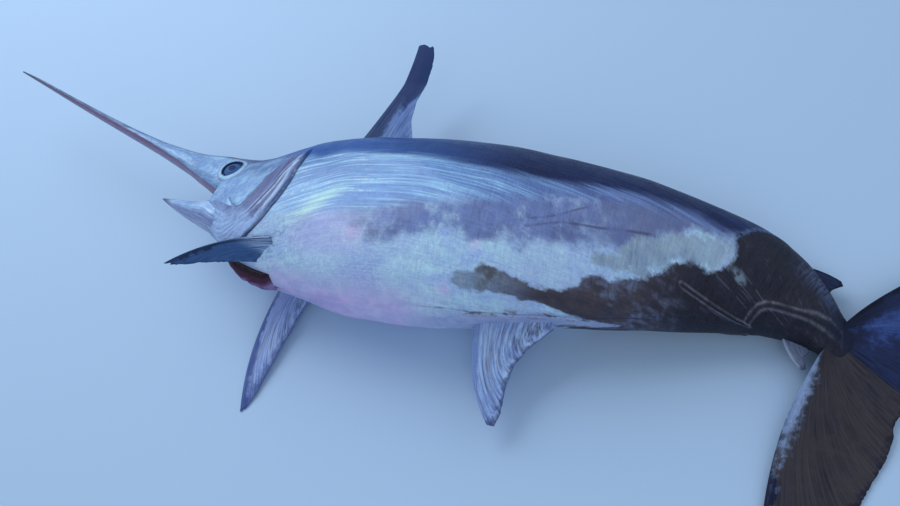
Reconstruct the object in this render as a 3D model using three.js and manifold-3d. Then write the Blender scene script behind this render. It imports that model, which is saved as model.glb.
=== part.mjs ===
// A life-size swordfish (Xiphias gladius) lying on its right flank, head towards -X, back towards +Y,
// left flank up. The body is a loft of oval sections along a spine that bends sideways at the nape and
// again before the tail. Fins are fans of rays raised as ridges on a membrane. Millimetres, +Z up,
// with the origin on the floor under the middle of the fish.
import * as THREE from "three";
import { mergeVertices } from "three/addons/utils/BufferGeometryUtils.js";
import Module from "manifold-3d";

const wasm = await Module();
wasm.setup();

// Driving dimensions
const BODY = 1750; // unit of length: every share below is a share of it
const GAP = 0.3; // clearance kept between two nodes that touch
const MIDDLE = { x: 223.7, y: -67.9 }; // plan offset that centres the fish on the origin
const NAPE_YAW = -0.355; // the skull is raised towards the back by this angle, radians
const NAPE = { from: 0.13, to: 0.25 }; // where along the body the nape bends
const TAIL_YAW = -0.557; // the tail stalk swings towards the belly side by this angle
const TAIL_BEND = { from: 0.672, to: 0.97 };

// Body sections: along, back height, belly height, half width and height of the spine over the floor
const SECTIONS = [
  [0.03, 0.039, 0.01, 0.027, 0.086],
  [0.06, 0.048, 0.014, 0.035, 0.085],
  [0.1, 0.058, 0.019, 0.044, 0.084],
  [0.116, 0.062, 0.021, 0.047, 0.084],
  [0.1165, 0.0622, 0.071, 0.0475, 0.084],
  [0.14, 0.071, 0.077, 0.054, 0.083],
  [0.165, 0.082, 0.09, 0.061, 0.083],
  [0.2, 0.1, 0.104, 0.069, 0.083],
  [0.235, 0.113, 0.113, 0.076, 0.083],
  [0.28, 0.124, 0.122, 0.083, 0.083],
  [0.35, 0.131, 0.136, 0.09, 0.084],
  [0.43, 0.131, 0.139, 0.091, 0.086],
  [0.52, 0.129, 0.129, 0.087, 0.083],
  [0.6, 0.122, 0.114, 0.079, 0.076],
  [0.7, 0.108, 0.099, 0.066, 0.064],
  [0.78, 0.092, 0.083, 0.053, 0.051],
  [0.84, 0.084, 0.059, 0.042, 0.041],
  [0.88, 0.072, 0.039, 0.033, 0.034],
  [0.92, 0.05, 0.025, 0.025, 0.03],
  [0.95, 0.034, 0.02, 0.018, 0.028],
];
// Bill sections: along, offset towards the back, back height, belly height, half width, height
const BILL = [
  [-0.49, 0.012, 0.0012, 0.0012, 0.0016, 0.107],
  [-0.44, 0.0115, 0.0028, 0.0026, 0.0052, 0.106],
  [-0.3, 0.0085, 0.0048, 0.0044, 0.0105, 0.101],
  [-0.18, 0.0068, 0.0074, 0.0056, 0.0138, 0.096],
  [-0.09, 0.006, 0.0125, 0.0066, 0.0172, 0.091],
  [-0.04, 0.0045, 0.0195, 0.0076, 0.0207, 0.089],
  [0.0, 0.004, 0.0268, 0.0088, 0.0238, 0.087],
  [0.0298, 0.0, 0.0389, 0.01, 0.0269, 0.086],
];
// Lower jaw sections: along, offset of its middle, half depth, half width, height
const JAW = [
  [-0.006, -0.061, 0.0012, 0.0016, 0.083],
  [0.01, -0.0602, 0.0045, 0.0075, 0.083],
  [0.04, -0.0582, 0.0095, 0.0185, 0.083],
  [0.08, -0.054, 0.0148, 0.0305, 0.083],
  [0.1158, -0.0475, 0.022, 0.0415, 0.084],
];
const EYE = { along: 0.1, up: 0.0235, out: 0.0275, radius: 0.0172, tilt: 0.32 };
const LID = { radius: 25, tube: 3.2, rise: 0.0112 }; // millimetres, and how far it stands off the eye's centre
const NOSTRIL = { along: 0.052, angle: 0.92, radius: 3.2 };
const RING_SIDES = 36; // facets round the body

// Numbers between the rows of a table, along its first column
function between(table, along) {
  const last = table.length - 1;
  const at = table.findIndex((row) => row[0] >= along);
  const i = at < 0 ? last - 1 : Math.max(0, at - 1);
  const [p0, p1, p2, p3] = [
    table[Math.max(0, i - 1)],
    table[i],
    table[i + 1],
    table[Math.min(last, i + 2)],
  ];
  const span = p1[0] === p2[0] ? 1 : p2[0] - p1[0];
  const t = THREE.MathUtils.clamp((along - p1[0]) / span, 0, 1);
  return p1.slice(1).map((value, column) => {
    const k = column + 1;
    const before = p1[0] > p0[0] ? (p1[k] - p0[k]) / (p1[0] - p0[0]) : 0;
    const here = (p2[k] - p1[k]) / span;
    const after = p3[0] > p2[0] ? (p3[k] - p2[k]) / (p3[0] - p2[0]) : 0;
    const slope = (a, b) => (a * b <= 0 ? 0 : (2 * a * b) / (a + b));
    const [m1, m2] = [slope(before || here, here), slope(here, after || here)];
    const [t2, t3] = [t * t, t * t * t];
    return (
      value * (2 * t3 - 3 * t2 + 1) +
      m1 * span * (t3 - 2 * t2 + t) +
      p2[k] * (3 * t2 - 2 * t3) +
      m2 * span * (t3 - t2)
    );
  });
}

// Direction of the spine in plan, as an angle from +X
function yawAt(along) {
  const nape = THREE.MathUtils.clamp((NAPE.to - along) / (NAPE.to - NAPE.from), 0, 1);
  return NAPE_YAW * nape + TAIL_YAW * THREE.MathUtils.smoothstep(along, TAIL_BEND.from, TAIL_BEND.to);
}

// The spine in plan, summed in short steps once
const SPINE_STEP = 0.0025;
const SPINE_FROM = -0.52;
const SPINE_ROOT = 0.25;
const spine = [];
{
  let [x, y] = [0, 0];
  for (let along = SPINE_FROM; along < 1.2; along += SPINE_STEP) {
    spine.push([x, y]);
    const yaw = yawAt(along + SPINE_STEP / 2);
    x += Math.cos(yaw) * SPINE_STEP;
    y += Math.sin(yaw) * SPINE_STEP;
  }
}
function spineRaw(along) {
  const at = (along - SPINE_FROM) / SPINE_STEP;
  const i = THREE.MathUtils.clamp(Math.floor(at), 0, spine.length - 2);
  const t = at - i;
  return [0, 1].map((k) => spine[i][k] * (1 - t) + spine[i + 1][k] * t);
}
const spineStart = spineRaw(SPINE_ROOT);

// A place in the fish's own terms, as shares of BODY: along, towards the back, and height over the floor
function place(along, up, height) {
  const [x, y] = spineRaw(along);
  const yaw = yawAt(along);
  return new THREE.Vector3(
    (x - spineStart[0] - Math.sin(yaw) * up) * BODY - MIDDLE.x,
    (y - spineStart[1] + Math.cos(yaw) * up) * BODY - MIDDLE.y,
    Math.max(height * BODY, 0),
  );
}

// One point of an oval section. Angle 0 is the back, a quarter turn the left flank
function ovalPoint(section, angle, grow = 0) {
  const [c, s] = [Math.cos(angle), Math.sin(angle)];
  const squareness = 0.9;
  const curve = (value) => Math.sign(value) * Math.abs(value) ** squareness;
  const g = grow / BODY;
  const up = section.offset + curve(c) * ((c > 0 ? section.back : section.belly) + g);
  return place(section.along, up, section.height + curve(s) * (section.width + g));
}

// A closed mesh through a row of rings that all have the same number of points
function loft(rings) {
  const sides = rings[0].length;
  const positions = rings.flat().flatMap((p) => [p.x, p.y, p.z]);
  const index = [];
  for (let i = 0; i + 1 < rings.length; i++)
    for (let j = 0; j < sides; j++) {
      const k = (j + 1) % sides;
      const [a, b, c, d] = [i * sides + j, i * sides + k, (i + 1) * sides + j, (i + 1) * sides + k];
      index.push(a, c, b, b, c, d);
    }
  [0, rings.length - 1].forEach((i) => {
    const middle = rings[i].reduce((sum, p) => sum.clone().add(p)).divideScalar(sides);
    const m = positions.length / 3;
    positions.push(middle.x, middle.y, middle.z);
    for (let j = 0; j < sides; j++) {
      const [a, b] = [i * sides + j, i * sides + ((j + 1) % sides)];
      index.push(...(i === 0 ? [m, a, b] : [m, b, a]));
    }
  });
  return closed(positions, index);
}

// A solid from raw positions and triangles, turned the right way out
function closed(positions, index) {
  const geometry = new THREE.BufferGeometry();
  geometry.setAttribute("position", new THREE.Float32BufferAttribute(positions, 3));
  geometry.setIndex(index);
  const merged = mergeVertices(geometry, 1e-3);
  const make = (triVerts) =>
    new wasm.Manifold(
      new wasm.Mesh({ numProp: 3, vertProperties: merged.attributes.position.array, triVerts }),
    );
  const triangles = new Uint32Array(merged.index.array);
  const made = make(triangles);
  if (made.volume() > 0) return made;
  for (let i = 0; i < triangles.length; i += 3)
    [triangles[i + 1], triangles[i + 2]] = [triangles[i + 2], triangles[i + 1]];
  return make(triangles);
}

// The largest closed piece of a solid
function largest(solid) {
  return solid.decompose().sort((a, b) => b.volume() - a.volume())[0];
}

// Places at an even spacing close to the step asked for
function stations(from, to, step) {
  const count = Math.max(1, Math.round((to - from) / step));
  return Array.from({ length: count + 1 }, (_, i) => from + ((to - from) * i) / count);
}

function ring(section, grow = 0) {
  return Array.from({ length: RING_SIDES }, (_, j) =>
    ovalPoint(section, (j / RING_SIDES) * Math.PI * 2, grow),
  );
}

function bodySection(along) {
  const [back, belly, width, height] = between(SECTIONS, along);
  return { along, offset: 0, back, belly, width, height };
}

// A length of the body between two places along it
function bodyLength(from, to, step, grow = 0) {
  const places = stations(from, to, step);
  return loft(places.map((along) => ring(bodySection(along), grow)));
}

// A point on the skin, or proud of it by some millimetres
function skinPoint(along, angle, proud) {
  return ovalPoint(bodySection(along), angle, proud);
}

// A sheet with two faces split alike, closed at its rim. Faces hold rows of points
function plate(top, bottom) {
  const [rows, columns] = [top.length, top[0].length];
  const positions = [...top.flat(), ...bottom.flat()].flatMap((p) => [p.x, p.y, p.z]);
  const index = [];
  const at = (face, i, j) => face * rows * columns + i * columns + j;
  const quad = (a, b, c, d) => index.push(a, b, c, b, d, c);
  for (let i = 0; i + 1 < rows; i++)
    for (let j = 0; j + 1 < columns; j++) {
      const [a, b, c, d] = [at(0, i, j), at(0, i, j + 1), at(0, i + 1, j), at(0, i + 1, j + 1)];
      index.push(a, b, c, b, d, c);
      const n = rows * columns;
      index.push(a + n, c + n, b + n, b + n, c + n, d + n);
    }
  for (let j = 0; j + 1 < columns; j++) {
    quad(at(0, 0, j), at(1, 0, j), at(0, 0, j + 1), at(1, 0, j + 1));
    quad(at(1, rows - 1, j), at(0, rows - 1, j), at(1, rows - 1, j + 1), at(0, rows - 1, j + 1));
  }
  for (let i = 0; i + 1 < rows; i++) {
    quad(at(1, i, 0), at(0, i, 0), at(1, i + 1, 0), at(0, i + 1, 0));
    quad(at(0, i, columns - 1), at(1, i, columns - 1), at(0, i + 1, columns - 1), at(1, i + 1, columns - 1));
  }
  return closed(positions, index);
}

// A point of a curve through a start, a pull and an end
function curve(start, pull, end, t) {
  const [a, b, c] = [(1 - t) * (1 - t), 2 * t * (1 - t), t * t];
  return start.map((value, k) => a * value + b * pull[k] + c * end[k]);
}

// Places between the points of an open outline, by share of its length
function alongOutline(points, share) {
  const lengths = points.slice(1).map((p, i) => Math.hypot(...p.map((v, k) => v - points[i][k])));
  let left = share * lengths.reduce((a, b) => a + b);
  for (let i = 0; i < lengths.length; i++) {
    if (left <= lengths[i] || i === lengths.length - 1) {
      const t = Math.min(1, left / lengths[i]);
      return points[i].map((v, k) => v + (points[i + 1][k] - v) * t);
    }
    left -= lengths[i];
  }
}

// A fin: rays fan from the base to the trailing edge, each a ridge on the membrane between.
// Its outline is given flat, as pairs of shares, and toWorld turns a pair and a lift into a place
function fin({ base, pull, trailing, rays, rows, thick, thin, ridge, toWorld }) {
  const columns = 2 * rays + 1;
  const faces = [1, -1].map((side) =>
    Array.from({ length: rows + 1 }, (_, i) => {
      const t = i / rows;
      return Array.from({ length: columns }, (_, j) => {
        const s = j / (columns - 1);
        const start = base[0].map((v, k) => v + (base[1][k] - v) * s);
        const end = alongOutline(trailing, s);
        const middle = end.map((v, k) => (start[k] + v) / 2);
        const bow = pull.map((v, k) => v + (middle[k] - v) * s ** 0.8);
        const flat = curve(start, bow, end, t);
        const core = thick * (1 - t) ** 1.5 + thin;
        const raised = j % 2 === 1 ? ridge * (1 - 0.75 * t) : 0;
        const lead = 1 - 0.35 * s;
        return toWorld(flat, (side * (core * lead + raised)) / 2, t);
      });
    }),
  );
  return plate(faces[0], faces[1]);
}

// The plane of the back and belly, where the dorsal and anal fins stand
const midline = (droop) => (flat, lift) => {
  const section = bodySection(Math.min(flat[0], 0.95));
  const out = Math.max(0, Math.abs(flat[1]) - 0.1);
  return place(flat[0], flat[1], section.height + droop(out) + lift / BODY);
};

// Lengths of the trunk: where each starts and ends, and the step between its sections
const half = GAP / 2 / BODY;
const LENGTHS = {
  shoulder: [0.2, 0.34, 0.02],
  belly: [0.34, 0.56, 0.0275],
  flank: [0.56, 0.76, 0.025],
  tail_stalk: [0.76, 0.95, 0.019],
};

// Everything that a fin's root is cut by: the trunk, grown by the gap
const trunk = Object.values(LENGTHS)
  .map(([from, to, step]) => bodyLength(from, to, step, 1.5 * GAP))
  .reduce((a, b) => a.add(b));
const rooted = (solid) => largest(solid.subtract(trunk));

// The sword: flat in section, widest across, drawn to a point
function bill() {
  const places = stations(-0.49, 0.0298, 0.026);
  const rings = places.map((along) => {
    const [offset, back, belly, width, height] = between(BILL, along);
    const section = { along, offset, back, belly, width, height };
    const sides = 16;
    return Array.from({ length: sides }, (_, j) => ovalPoint(section, (j / sides) * Math.PI * 2));
  });
  return loft(rings);
}

// The lower jaw, held open below the sword, with a groove under its lips
function lowerJaw() {
  const lip = { angle: 1.05, wide: 0.22, deep: 0.1 };
  const groove = (angle) => {
    const off = (Math.min(angle, Math.PI * 2 - angle) - lip.angle) / lip.wide;
    return -lip.deep * Math.exp(-off * off);
  };
  const places = stations(-0.006, 0.1158, 0.0135);
  const rings = places.map((along) => {
    const [offset, depth, width, height] = between(JAW, along);
    const section = { along, offset, back: depth, belly: depth, width, height };
    const sides = 24;
    return Array.from({ length: sides }, (_, j) => {
      const angle = (j / sides) * Math.PI * 2;
      return ovalPoint(section, angle, groove(angle) * width * BODY);
    });
  });
  return loft(rings);
}

// Centre of an eye. side is 1 for the left eye, which faces up, and -1 for the right
function eyeCentre(side) {
  return place(EYE.along, EYE.up, bodySection(EYE.along).height + side * EYE.out);
}
// A ready-made shape moved to a place
function shaped(geometry, centre) {
  geometry.deleteAttribute("normal");
  geometry.deleteAttribute("uv");
  geometry.translate(centre.x, centre.y, centre.z);
  return closed([...geometry.attributes.position.array], [...geometry.index.array]);
}
function eyeBall(side, grow = 0) {
  return shaped(new THREE.SphereGeometry(EYE.radius * BODY + grow, 16, 10), eyeCentre(side));
}

// The rim of skin round an eye, which looks out and a little towards the back
function lid(side) {
  const yaw = yawAt(EYE.along);
  const tip = Math.sin(EYE.tilt);
  const way = new THREE.Vector3(-Math.sin(yaw) * tip, Math.cos(yaw) * tip, side * Math.cos(EYE.tilt));
  const rim = new THREE.TorusGeometry(LID.radius, LID.tube, 6, 18);
  rim.applyQuaternion(new THREE.Quaternion().setFromUnitVectors(new THREE.Vector3(0, 0, 1), way));
  return shaped(rim, eyeCentre(side).addScaledVector(way, LID.rise * BODY));
}

// A pit in the skin of the snout
function nostril(side) {
  return shaped(
    new THREE.SphereGeometry(NOSTRIL.radius, 8, 6),
    skinPoint(NOSTRIL.along, side * NOSTRIL.angle, 0),
  );
}

// The skull and cheeks, with lids, a socket for each eye, nostrils, and the mouth's corner as a step
function head() {
  const face = [0.03, 0.044, 0.058, 0.072, 0.086, 0.1, 0.116, 0.1165];
  const places = [...face, ...stations(0.13, 0.2, 0.014)];
  const whole = loft(places.map((along) => ring(bodySection(along))));
  const lidded = whole.add(lid(1)).add(lid(-1));
  const pitted = lidded.subtract(nostril(1)).subtract(nostril(-1));
  return largest(pitted.subtract(eyeBall(1, GAP)).subtract(eyeBall(-1, GAP)));
}

// A gill cover: a plate over the cheek whose free rear edge stands off the shoulder
function gillCover(side) {
  const [rows, columns] = [14, 7];
  const faceAt = (proud) =>
    Array.from({ length: rows + 1 }, (_, i) => {
      const r = i / rows;
      const angle = side * (0.84 + 1.56 * r);
      const rear = 0.236 + 0.008 * Math.sin(Math.PI * r) - 0.03 * r ** 2.2;
      const front = 0.166 + 0.045 * (1 - r) ** 2 - 0.01 * r;
      return Array.from({ length: columns + 1 }, (_, j) => {
        const s = j / columns;
        return skinPoint(front + (rear - front) * s, angle, proud(s));
      });
    });
  return plate(
    faceAt((s) => 1.6 + 4.4 * s),
    faceAt(() => 2 * GAP),
  );
}

// The gills: red filaments that show along the open slit under the throat
function gills() {
  const [combs, columns] = [9, 4];
  const faceAt = (top) =>
    Array.from({ length: 2 * combs + 1 }, (_, i) => {
      const along = 0.17 + (0.072 * i) / (2 * combs);
      const raised = (i % 2 === 1 ? 20 : 15) * Math.min(1, 0.3 + i / combs);
      return Array.from({ length: columns + 1 }, (_, j) => {
        const s = j / columns;
        const proud = top ? 1.4 + raised * Math.sin(Math.PI * (0.15 + 0.7 * s)) : 2 * GAP;
        return skinPoint(along, 2.82 + 0.4 * s, proud);
      });
    });
  return plate(faceAt(true), faceAt(false));
}

// A keel along one side of the tail stalk
function keel(side) {
  const rows = 12;
  const half = 0.2;
  const middle = (t) => 1.95 - 0.5 * t;
  const faceAt = (crest) =>
    Array.from({ length: rows + 1 }, (_, i) => {
      const t = i / rows;
      const along = 0.872 + 0.074 * t;
      const lift = 1.2 + 11 * Math.sin(Math.PI * t ** 1.3);
      return [-1, -0.5, 0, 0.5, 1].map((s) =>
        skinPoint(along, side * (middle(t) + half * s), crest ? 1 + (1 - Math.abs(s)) * lift : 2 * GAP),
      );
    });
  return plate(faceAt(true), faceAt(false));
}

// First dorsal fin: tall and curved back, its upper half turned up where it leant on a wall
function dorsalFin() {
  const kink = 0.13;
  return rooted(
    fin({
      base: [[0.272, 0.108], [0.364, 0.116]],
      pull: [0.338, 0.215],
      trailing: [
        [0.352, 0.312], [0.364, 0.311], [0.37, 0.285], [0.365, 0.25],
        [0.357, 0.215], [0.357, 0.18], [0.366, 0.152], [0.376, 0.136],
      ],
      rays: 12,
      rows: 12,
      thick: 17,
      thin: 2.4,
      ridge: 2.2,
      toWorld: (flat, lift) => {
        const out = Math.max(0, flat[1] - 0.118);
        const rise = out < kink ? 0.1 * out : 0.1 * kink + 0.32 * (out - kink);
        return place(flat[0], flat[1], 0.084 + rise + lift / BODY);
      },
    }),
  );
}

// First anal fin: a broad falcate fin that droops to the floor
function analFin() {
  return rooted(
    fin({
      base: [[0.528, -0.1], [0.622, -0.098]],
      pull: [0.522, -0.19],
      trailing: [
        [0.561, -0.238], [0.57, -0.238], [0.576, -0.222], [0.577, -0.195],
        [0.583, -0.168], [0.6, -0.142], [0.625, -0.118],
      ],
      rays: 12,
      rows: 11,
      thick: 14,
      thin: 2.2,
      ridge: 2,
      toWorld: midline((out) => -0.33 * out),
    }),
  );
}

function secondDorsalFin() {
  return rooted(
    fin({
      base: [[0.868, 0.062], [0.9, 0.048]],
      pull: [0.885, 0.08],
      trailing: [[0.918, 0.079], [0.923, 0.075], [0.917, 0.064], [0.916, 0.056]],
      rays: 4,
      rows: 5,
      thick: 7,
      thin: 1.6,
      ridge: 1.2,
      toWorld: midline(() => -0.008),
    }),
  );
}

function secondAnalFin() {
  return rooted(
    fin({
      base: [[0.9, -0.021], [0.926, -0.015]],
      pull: [0.914, -0.042],
      trailing: [[0.944, -0.048], [0.948, -0.044], [0.938, -0.034], [0.938, -0.024]],
      rays: 4,
      rows: 5,
      thick: 7,
      thin: 1.6,
      ridge: 1.2,
      toWorld: midline(() => -0.004),
    }),
  );
}

// A lobe of the tail fin. side is 1 for the upper lobe, towards the back, and -1 for the lower
function tailLobe(side) {
  const split = GAP / BODY;
  return largest(
    fin({
      base: [[0.9502, side * 0.0262], [0.9502, side * split]],
      pull: [0.962, side * 0.165],
      trailing: [
        [1.07, side * 0.302], [1.078, side * 0.3], [1.076, side * 0.25], [1.074, side * 0.19],
        [1.071, side * 0.13], [1.064, side * 0.07], [1.052, side * 0.03], [1.046, side * split],
      ],
      rays: 12,
      rows: 12,
      thick: 30,
      thin: 3.4,
      ridge: 2.4,
      toWorld: (flat, lift) => {
        const out = THREE.MathUtils.clamp((flat[0] - 0.95) / 0.1 + Math.abs(flat[1]) / 0.3, 0, 1.6);
        const height = 0.028 * (1 - out / 1.6) ** 1.3 + 0.0022;
        return place(flat[0], flat[1], height + lift / BODY);
      },
    }),
  );
}

// A pectoral fin: long, stiff and curved, along a line from its root to its tip
function pectoralFin({ root, tip, across, sag, width, rays }) {
  const chord = new THREE.Vector3().subVectors(tip, root);
  const length = chord.length();
  const way = chord.clone().normalize();
  const side = across.clone().addScaledVector(way, -across.dot(way)).normalize();
  const normal = new THREE.Vector3().crossVectors(way, side).normalize();
  return fin({
    base: [[-0.03, -0.5], [-0.03, 0.42]],
    pull: [0.5, -0.86],
    trailing: [[1, 0.12], [0.99, 0.22], [0.86, 0.33], [0.66, 0.36], [0.44, 0.4], [0.22, 0.48], [0.06, 0.52]],
    rays,
    rows: 12,
    thick: 13,
    thin: 2.2,
    ridge: 1.8,
    toWorld: (flat, lift) => {
      const bend = sag * Math.sin(Math.PI * THREE.MathUtils.clamp(flat[0], 0, 1));
      const point = root
        .clone()
        .addScaledVector(way, flat[0] * length)
        .addScaledVector(side, flat[1] * width)
        .addScaledVector(normal, lift + bend);
      point.z = Math.max(point.z, lift > 0 ? 3 : 0);
      return point;
    },
  });
}

// The left pectoral fin stands off the flank that faces up, swung forwards over the throat
function leftPectoral() {
  return rooted(
    pectoralFin({
      root: place(0.252, -0.083, 0.132),
      tip: place(0.112, -0.147, 0.108),
      across: new THREE.Vector3(0.3, -0.62, -0.7),
      sag: 12,
      width: 66,
      rays: 10,
    }),
  );
}

// The right pectoral fin comes from under the chest and lies on the floor
function rightPectoral() {
  return rooted(
    pectoralFin({
      root: place(0.238, -0.078, 0.022),
      tip: place(0.222, -0.272, 0.0012),
      across: new THREE.Vector3(1, 0.1, 0),
      sag: 0,
      width: 84,
      rays: 10,
    }),
  );
}

// Colours of a fresh fish: slate back, silver and rose flanks, dark fins, pale cheeks
const skinBlue = { color: 0x7f8fae, roughness: 0.35, metalness: 0.15 };
const skinBrown = { color: 0x4b4650, roughness: 0.4, metalness: 0.1 };
const finDark = { color: 0x2c3346, roughness: 0.4, metalness: 0.1 };
const finPale = { color: 0x7b84a0, roughness: 0.45, metalness: 0.1 };
const billRose = { color: 0x7d6478, roughness: 0.4, metalness: 0.05 };
const gillRed = { color: 0x5b1a22, roughness: 0.35, metalness: 0 };
const eyeDark = { color: 0x10151f, roughness: 0.08, metalness: 0 };

const model = new THREE.Group();
function add(name, solid, look) {
  const mesh = solid.getMesh();
  const geometry = new THREE.BufferGeometry();
  geometry.setAttribute("position", new THREE.BufferAttribute(Float32Array.from(mesh.vertProperties), 3));
  geometry.setIndex(new THREE.BufferAttribute(Uint32Array.from(mesh.triVerts), 1));
  geometry.computeVertexNormals();
  const made = new THREE.Mesh(geometry, new THREE.MeshStandardMaterial(look));
  made.name = name;
  model.add(made);
}

add("bill", bill(), billRose);
add("lower_jaw", lowerJaw(), skinBlue);
add("head", head(), skinBlue);
add("eye_left", eyeBall(1), eyeDark);
add("eye_right", eyeBall(-1), eyeDark);
Object.entries(LENGTHS).forEach(([name, [from, to, step]]) =>
  add(name, bodyLength(from + 2 * half, to, step), name === "tail_stalk" ? skinBrown : skinBlue),
);
add("gill_cover_left", gillCover(1), skinBlue);
add("gill_cover_right", gillCover(-1), skinBlue);
add("gills", gills(), gillRed);
add("dorsal_fin", dorsalFin(), finDark);
add("anal_fin", analFin(), finPale);
add("second_dorsal_fin", secondDorsalFin(), finDark);
add("second_anal_fin", secondAnalFin(), finPale);
add("pectoral_fin_left", leftPectoral(), finDark);
add("pectoral_fin_right", rightPectoral(), finPale);
add("keel_left", keel(1), skinBrown);
add("keel_right", keel(-1), skinBrown);
add("tail_lobe_upper", tailLobe(1), finDark);
add("tail_lobe_lower", tailLobe(-1), finDark);

export default model;
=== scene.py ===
"""Looks of a life-size swordfish that lies on its right flank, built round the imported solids.

The skin from bill to tail is one dense loft along the fish's bent spine, with the gill covers, lids,
folds and keels raised in it. Fins are fans of fine rays. Places on the fish are given as shares of
its unit length: along it, towards its back, and round it, where 0 is the back, 0.5 the middle of a
flank and 1 the belly. Meshes are in metres, in the frame of the solids.
"""

import logging
import math
from dataclasses import dataclass, field
from enum import Enum
from typing import Callable, Sequence

import bpy
import numpy as np
from mathutils import Matrix, Vector


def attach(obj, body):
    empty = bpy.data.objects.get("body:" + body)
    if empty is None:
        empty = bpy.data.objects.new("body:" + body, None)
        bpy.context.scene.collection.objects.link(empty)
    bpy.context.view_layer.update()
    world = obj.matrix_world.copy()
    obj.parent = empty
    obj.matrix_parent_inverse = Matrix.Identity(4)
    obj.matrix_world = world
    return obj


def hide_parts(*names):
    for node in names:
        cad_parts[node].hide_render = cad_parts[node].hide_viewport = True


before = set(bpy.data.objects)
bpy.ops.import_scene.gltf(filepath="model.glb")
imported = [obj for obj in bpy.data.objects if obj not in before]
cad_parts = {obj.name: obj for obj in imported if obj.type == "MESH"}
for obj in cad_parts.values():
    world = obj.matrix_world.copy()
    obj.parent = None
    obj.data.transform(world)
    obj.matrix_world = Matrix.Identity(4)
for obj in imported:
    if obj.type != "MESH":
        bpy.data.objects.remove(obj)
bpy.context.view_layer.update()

log = logging.getLogger("swordfish")

Array = np.ndarray
Pair = tuple[float, float]
Socket = bpy.types.NodeSocket

# Metres and millimetres of one unit of the fish, and one millimetre as a share of it
UNIT = 1.75
UNIT_MM = UNIT * 1000
MILLIMETRE = 0.001 / UNIT
# Middle of the fish in plan, which stands at the origin
MIDDLE = (0.2237, -0.0679)
# Below 1 the body's sections are fuller than an ellipse
SQUARENESS = 0.9
# Where the jaw's corner ends and the sections take in the throat
THROAT_FROM = 0.118

# Along, offset towards the back, back height, belly height, half width, height of the spine
SECTIONS = (
    (-0.49, 0.012, 0.0012, 0.0012, 0.0016, 0.107),
    (-0.44, 0.0115, 0.0028, 0.0026, 0.0052, 0.106),
    (-0.3, 0.0085, 0.0048, 0.0044, 0.0105, 0.101),
    (-0.18, 0.0068, 0.0074, 0.0056, 0.0138, 0.096),
    (-0.09, 0.006, 0.0125, 0.0066, 0.0172, 0.091),
    (-0.04, 0.0045, 0.0195, 0.0076, 0.0207, 0.089),
    (0.0, 0.003, 0.0278, 0.0088, 0.0238, 0.087),
    (0.03, 0.0, 0.039, 0.01, 0.027, 0.086),
    (0.06, 0.0, 0.048, 0.014, 0.035, 0.085),
    (0.1, 0.0, 0.058, 0.019, 0.044, 0.084),
    (0.1128, 0.0, 0.0612, 0.021, 0.0465, 0.084),
    (0.1172, 0.0, 0.0625, 0.0708, 0.0476, 0.084),
    (0.14, 0.0, 0.071, 0.077, 0.054, 0.083),
    (0.165, 0.0, 0.082, 0.09, 0.061, 0.083),
    (0.2, 0.0, 0.1, 0.104, 0.069, 0.083),
    (0.235, 0.0, 0.113, 0.113, 0.076, 0.083),
    (0.28, 0.0, 0.124, 0.122, 0.083, 0.083),
    (0.35, 0.0, 0.131, 0.136, 0.09, 0.084),
    (0.43, 0.0, 0.131, 0.139, 0.091, 0.086),
    (0.52, 0.0, 0.129, 0.129, 0.087, 0.083),
    (0.6, 0.0, 0.122, 0.114, 0.079, 0.076),
    (0.7, 0.0, 0.108, 0.099, 0.066, 0.064),
    (0.78, 0.0, 0.092, 0.083, 0.053, 0.051),
    (0.84, 0.0, 0.084, 0.059, 0.042, 0.041),
    (0.88, 0.0, 0.072, 0.039, 0.033, 0.034),
    (0.92, 0.0, 0.05, 0.025, 0.025, 0.03),
    (0.945, 0.0, 0.034, 0.0205, 0.016, 0.028),
    (0.955, 0.0, 0.03, 0.021, 0.0118, 0.0272),
    (0.965, 0.0, 0.024, 0.019, 0.0082, 0.0262),
    (0.975, 0.0, 0.012, 0.01, 0.003, 0.0252),
)
JAW_SECTIONS = (
    (-0.006, -0.061, 0.0012, 0.0012, 0.0016, 0.083),
    (0.01, -0.0602, 0.0045, 0.0045, 0.0075, 0.083),
    (0.04, -0.0582, 0.0095, 0.0095, 0.0185, 0.083),
    (0.08, -0.054, 0.0148, 0.0148, 0.0305, 0.083),
    (0.1158, -0.0475, 0.022, 0.022, 0.0415, 0.084),
    (0.135, -0.049, 0.022, 0.0225, 0.044, 0.084),
    (0.158, -0.046, 0.014, 0.014, 0.03, 0.084),
)


def tone(red: int, green: int, blue: int) -> tuple[float, float, float, float]:
    """A screen colour from 0 to 255 as the linear colour that shaders use.

    Args:
        red: red from 0 to 255.
        green: green from 0 to 255.
        blue: blue from 0 to 255.

    Returns:
        Linear red, green and blue, and 1 for alpha.
    """
    parts = [c / 255 for c in (red, green, blue)]
    linear = [c / 12.92 if c <= 0.04045 else ((c + 0.055) / 1.055) ** 2.4 for c in parts]
    return (linear[0], linear[1], linear[2], 1.0)


def smooth(low: float, high: float, value: Array) -> Array:
    """A soft step from 0 at low to 1 at high."""
    t = np.clip((value - low) / (high - low), 0.0, 1.0)
    return t * t * (3.0 - 2.0 * t)


def bump(value: Array, middle: float | Array, width: float) -> Array:
    """A bell of height 1 round middle."""
    return np.exp(-(((value - middle) / width) ** 2))


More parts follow.
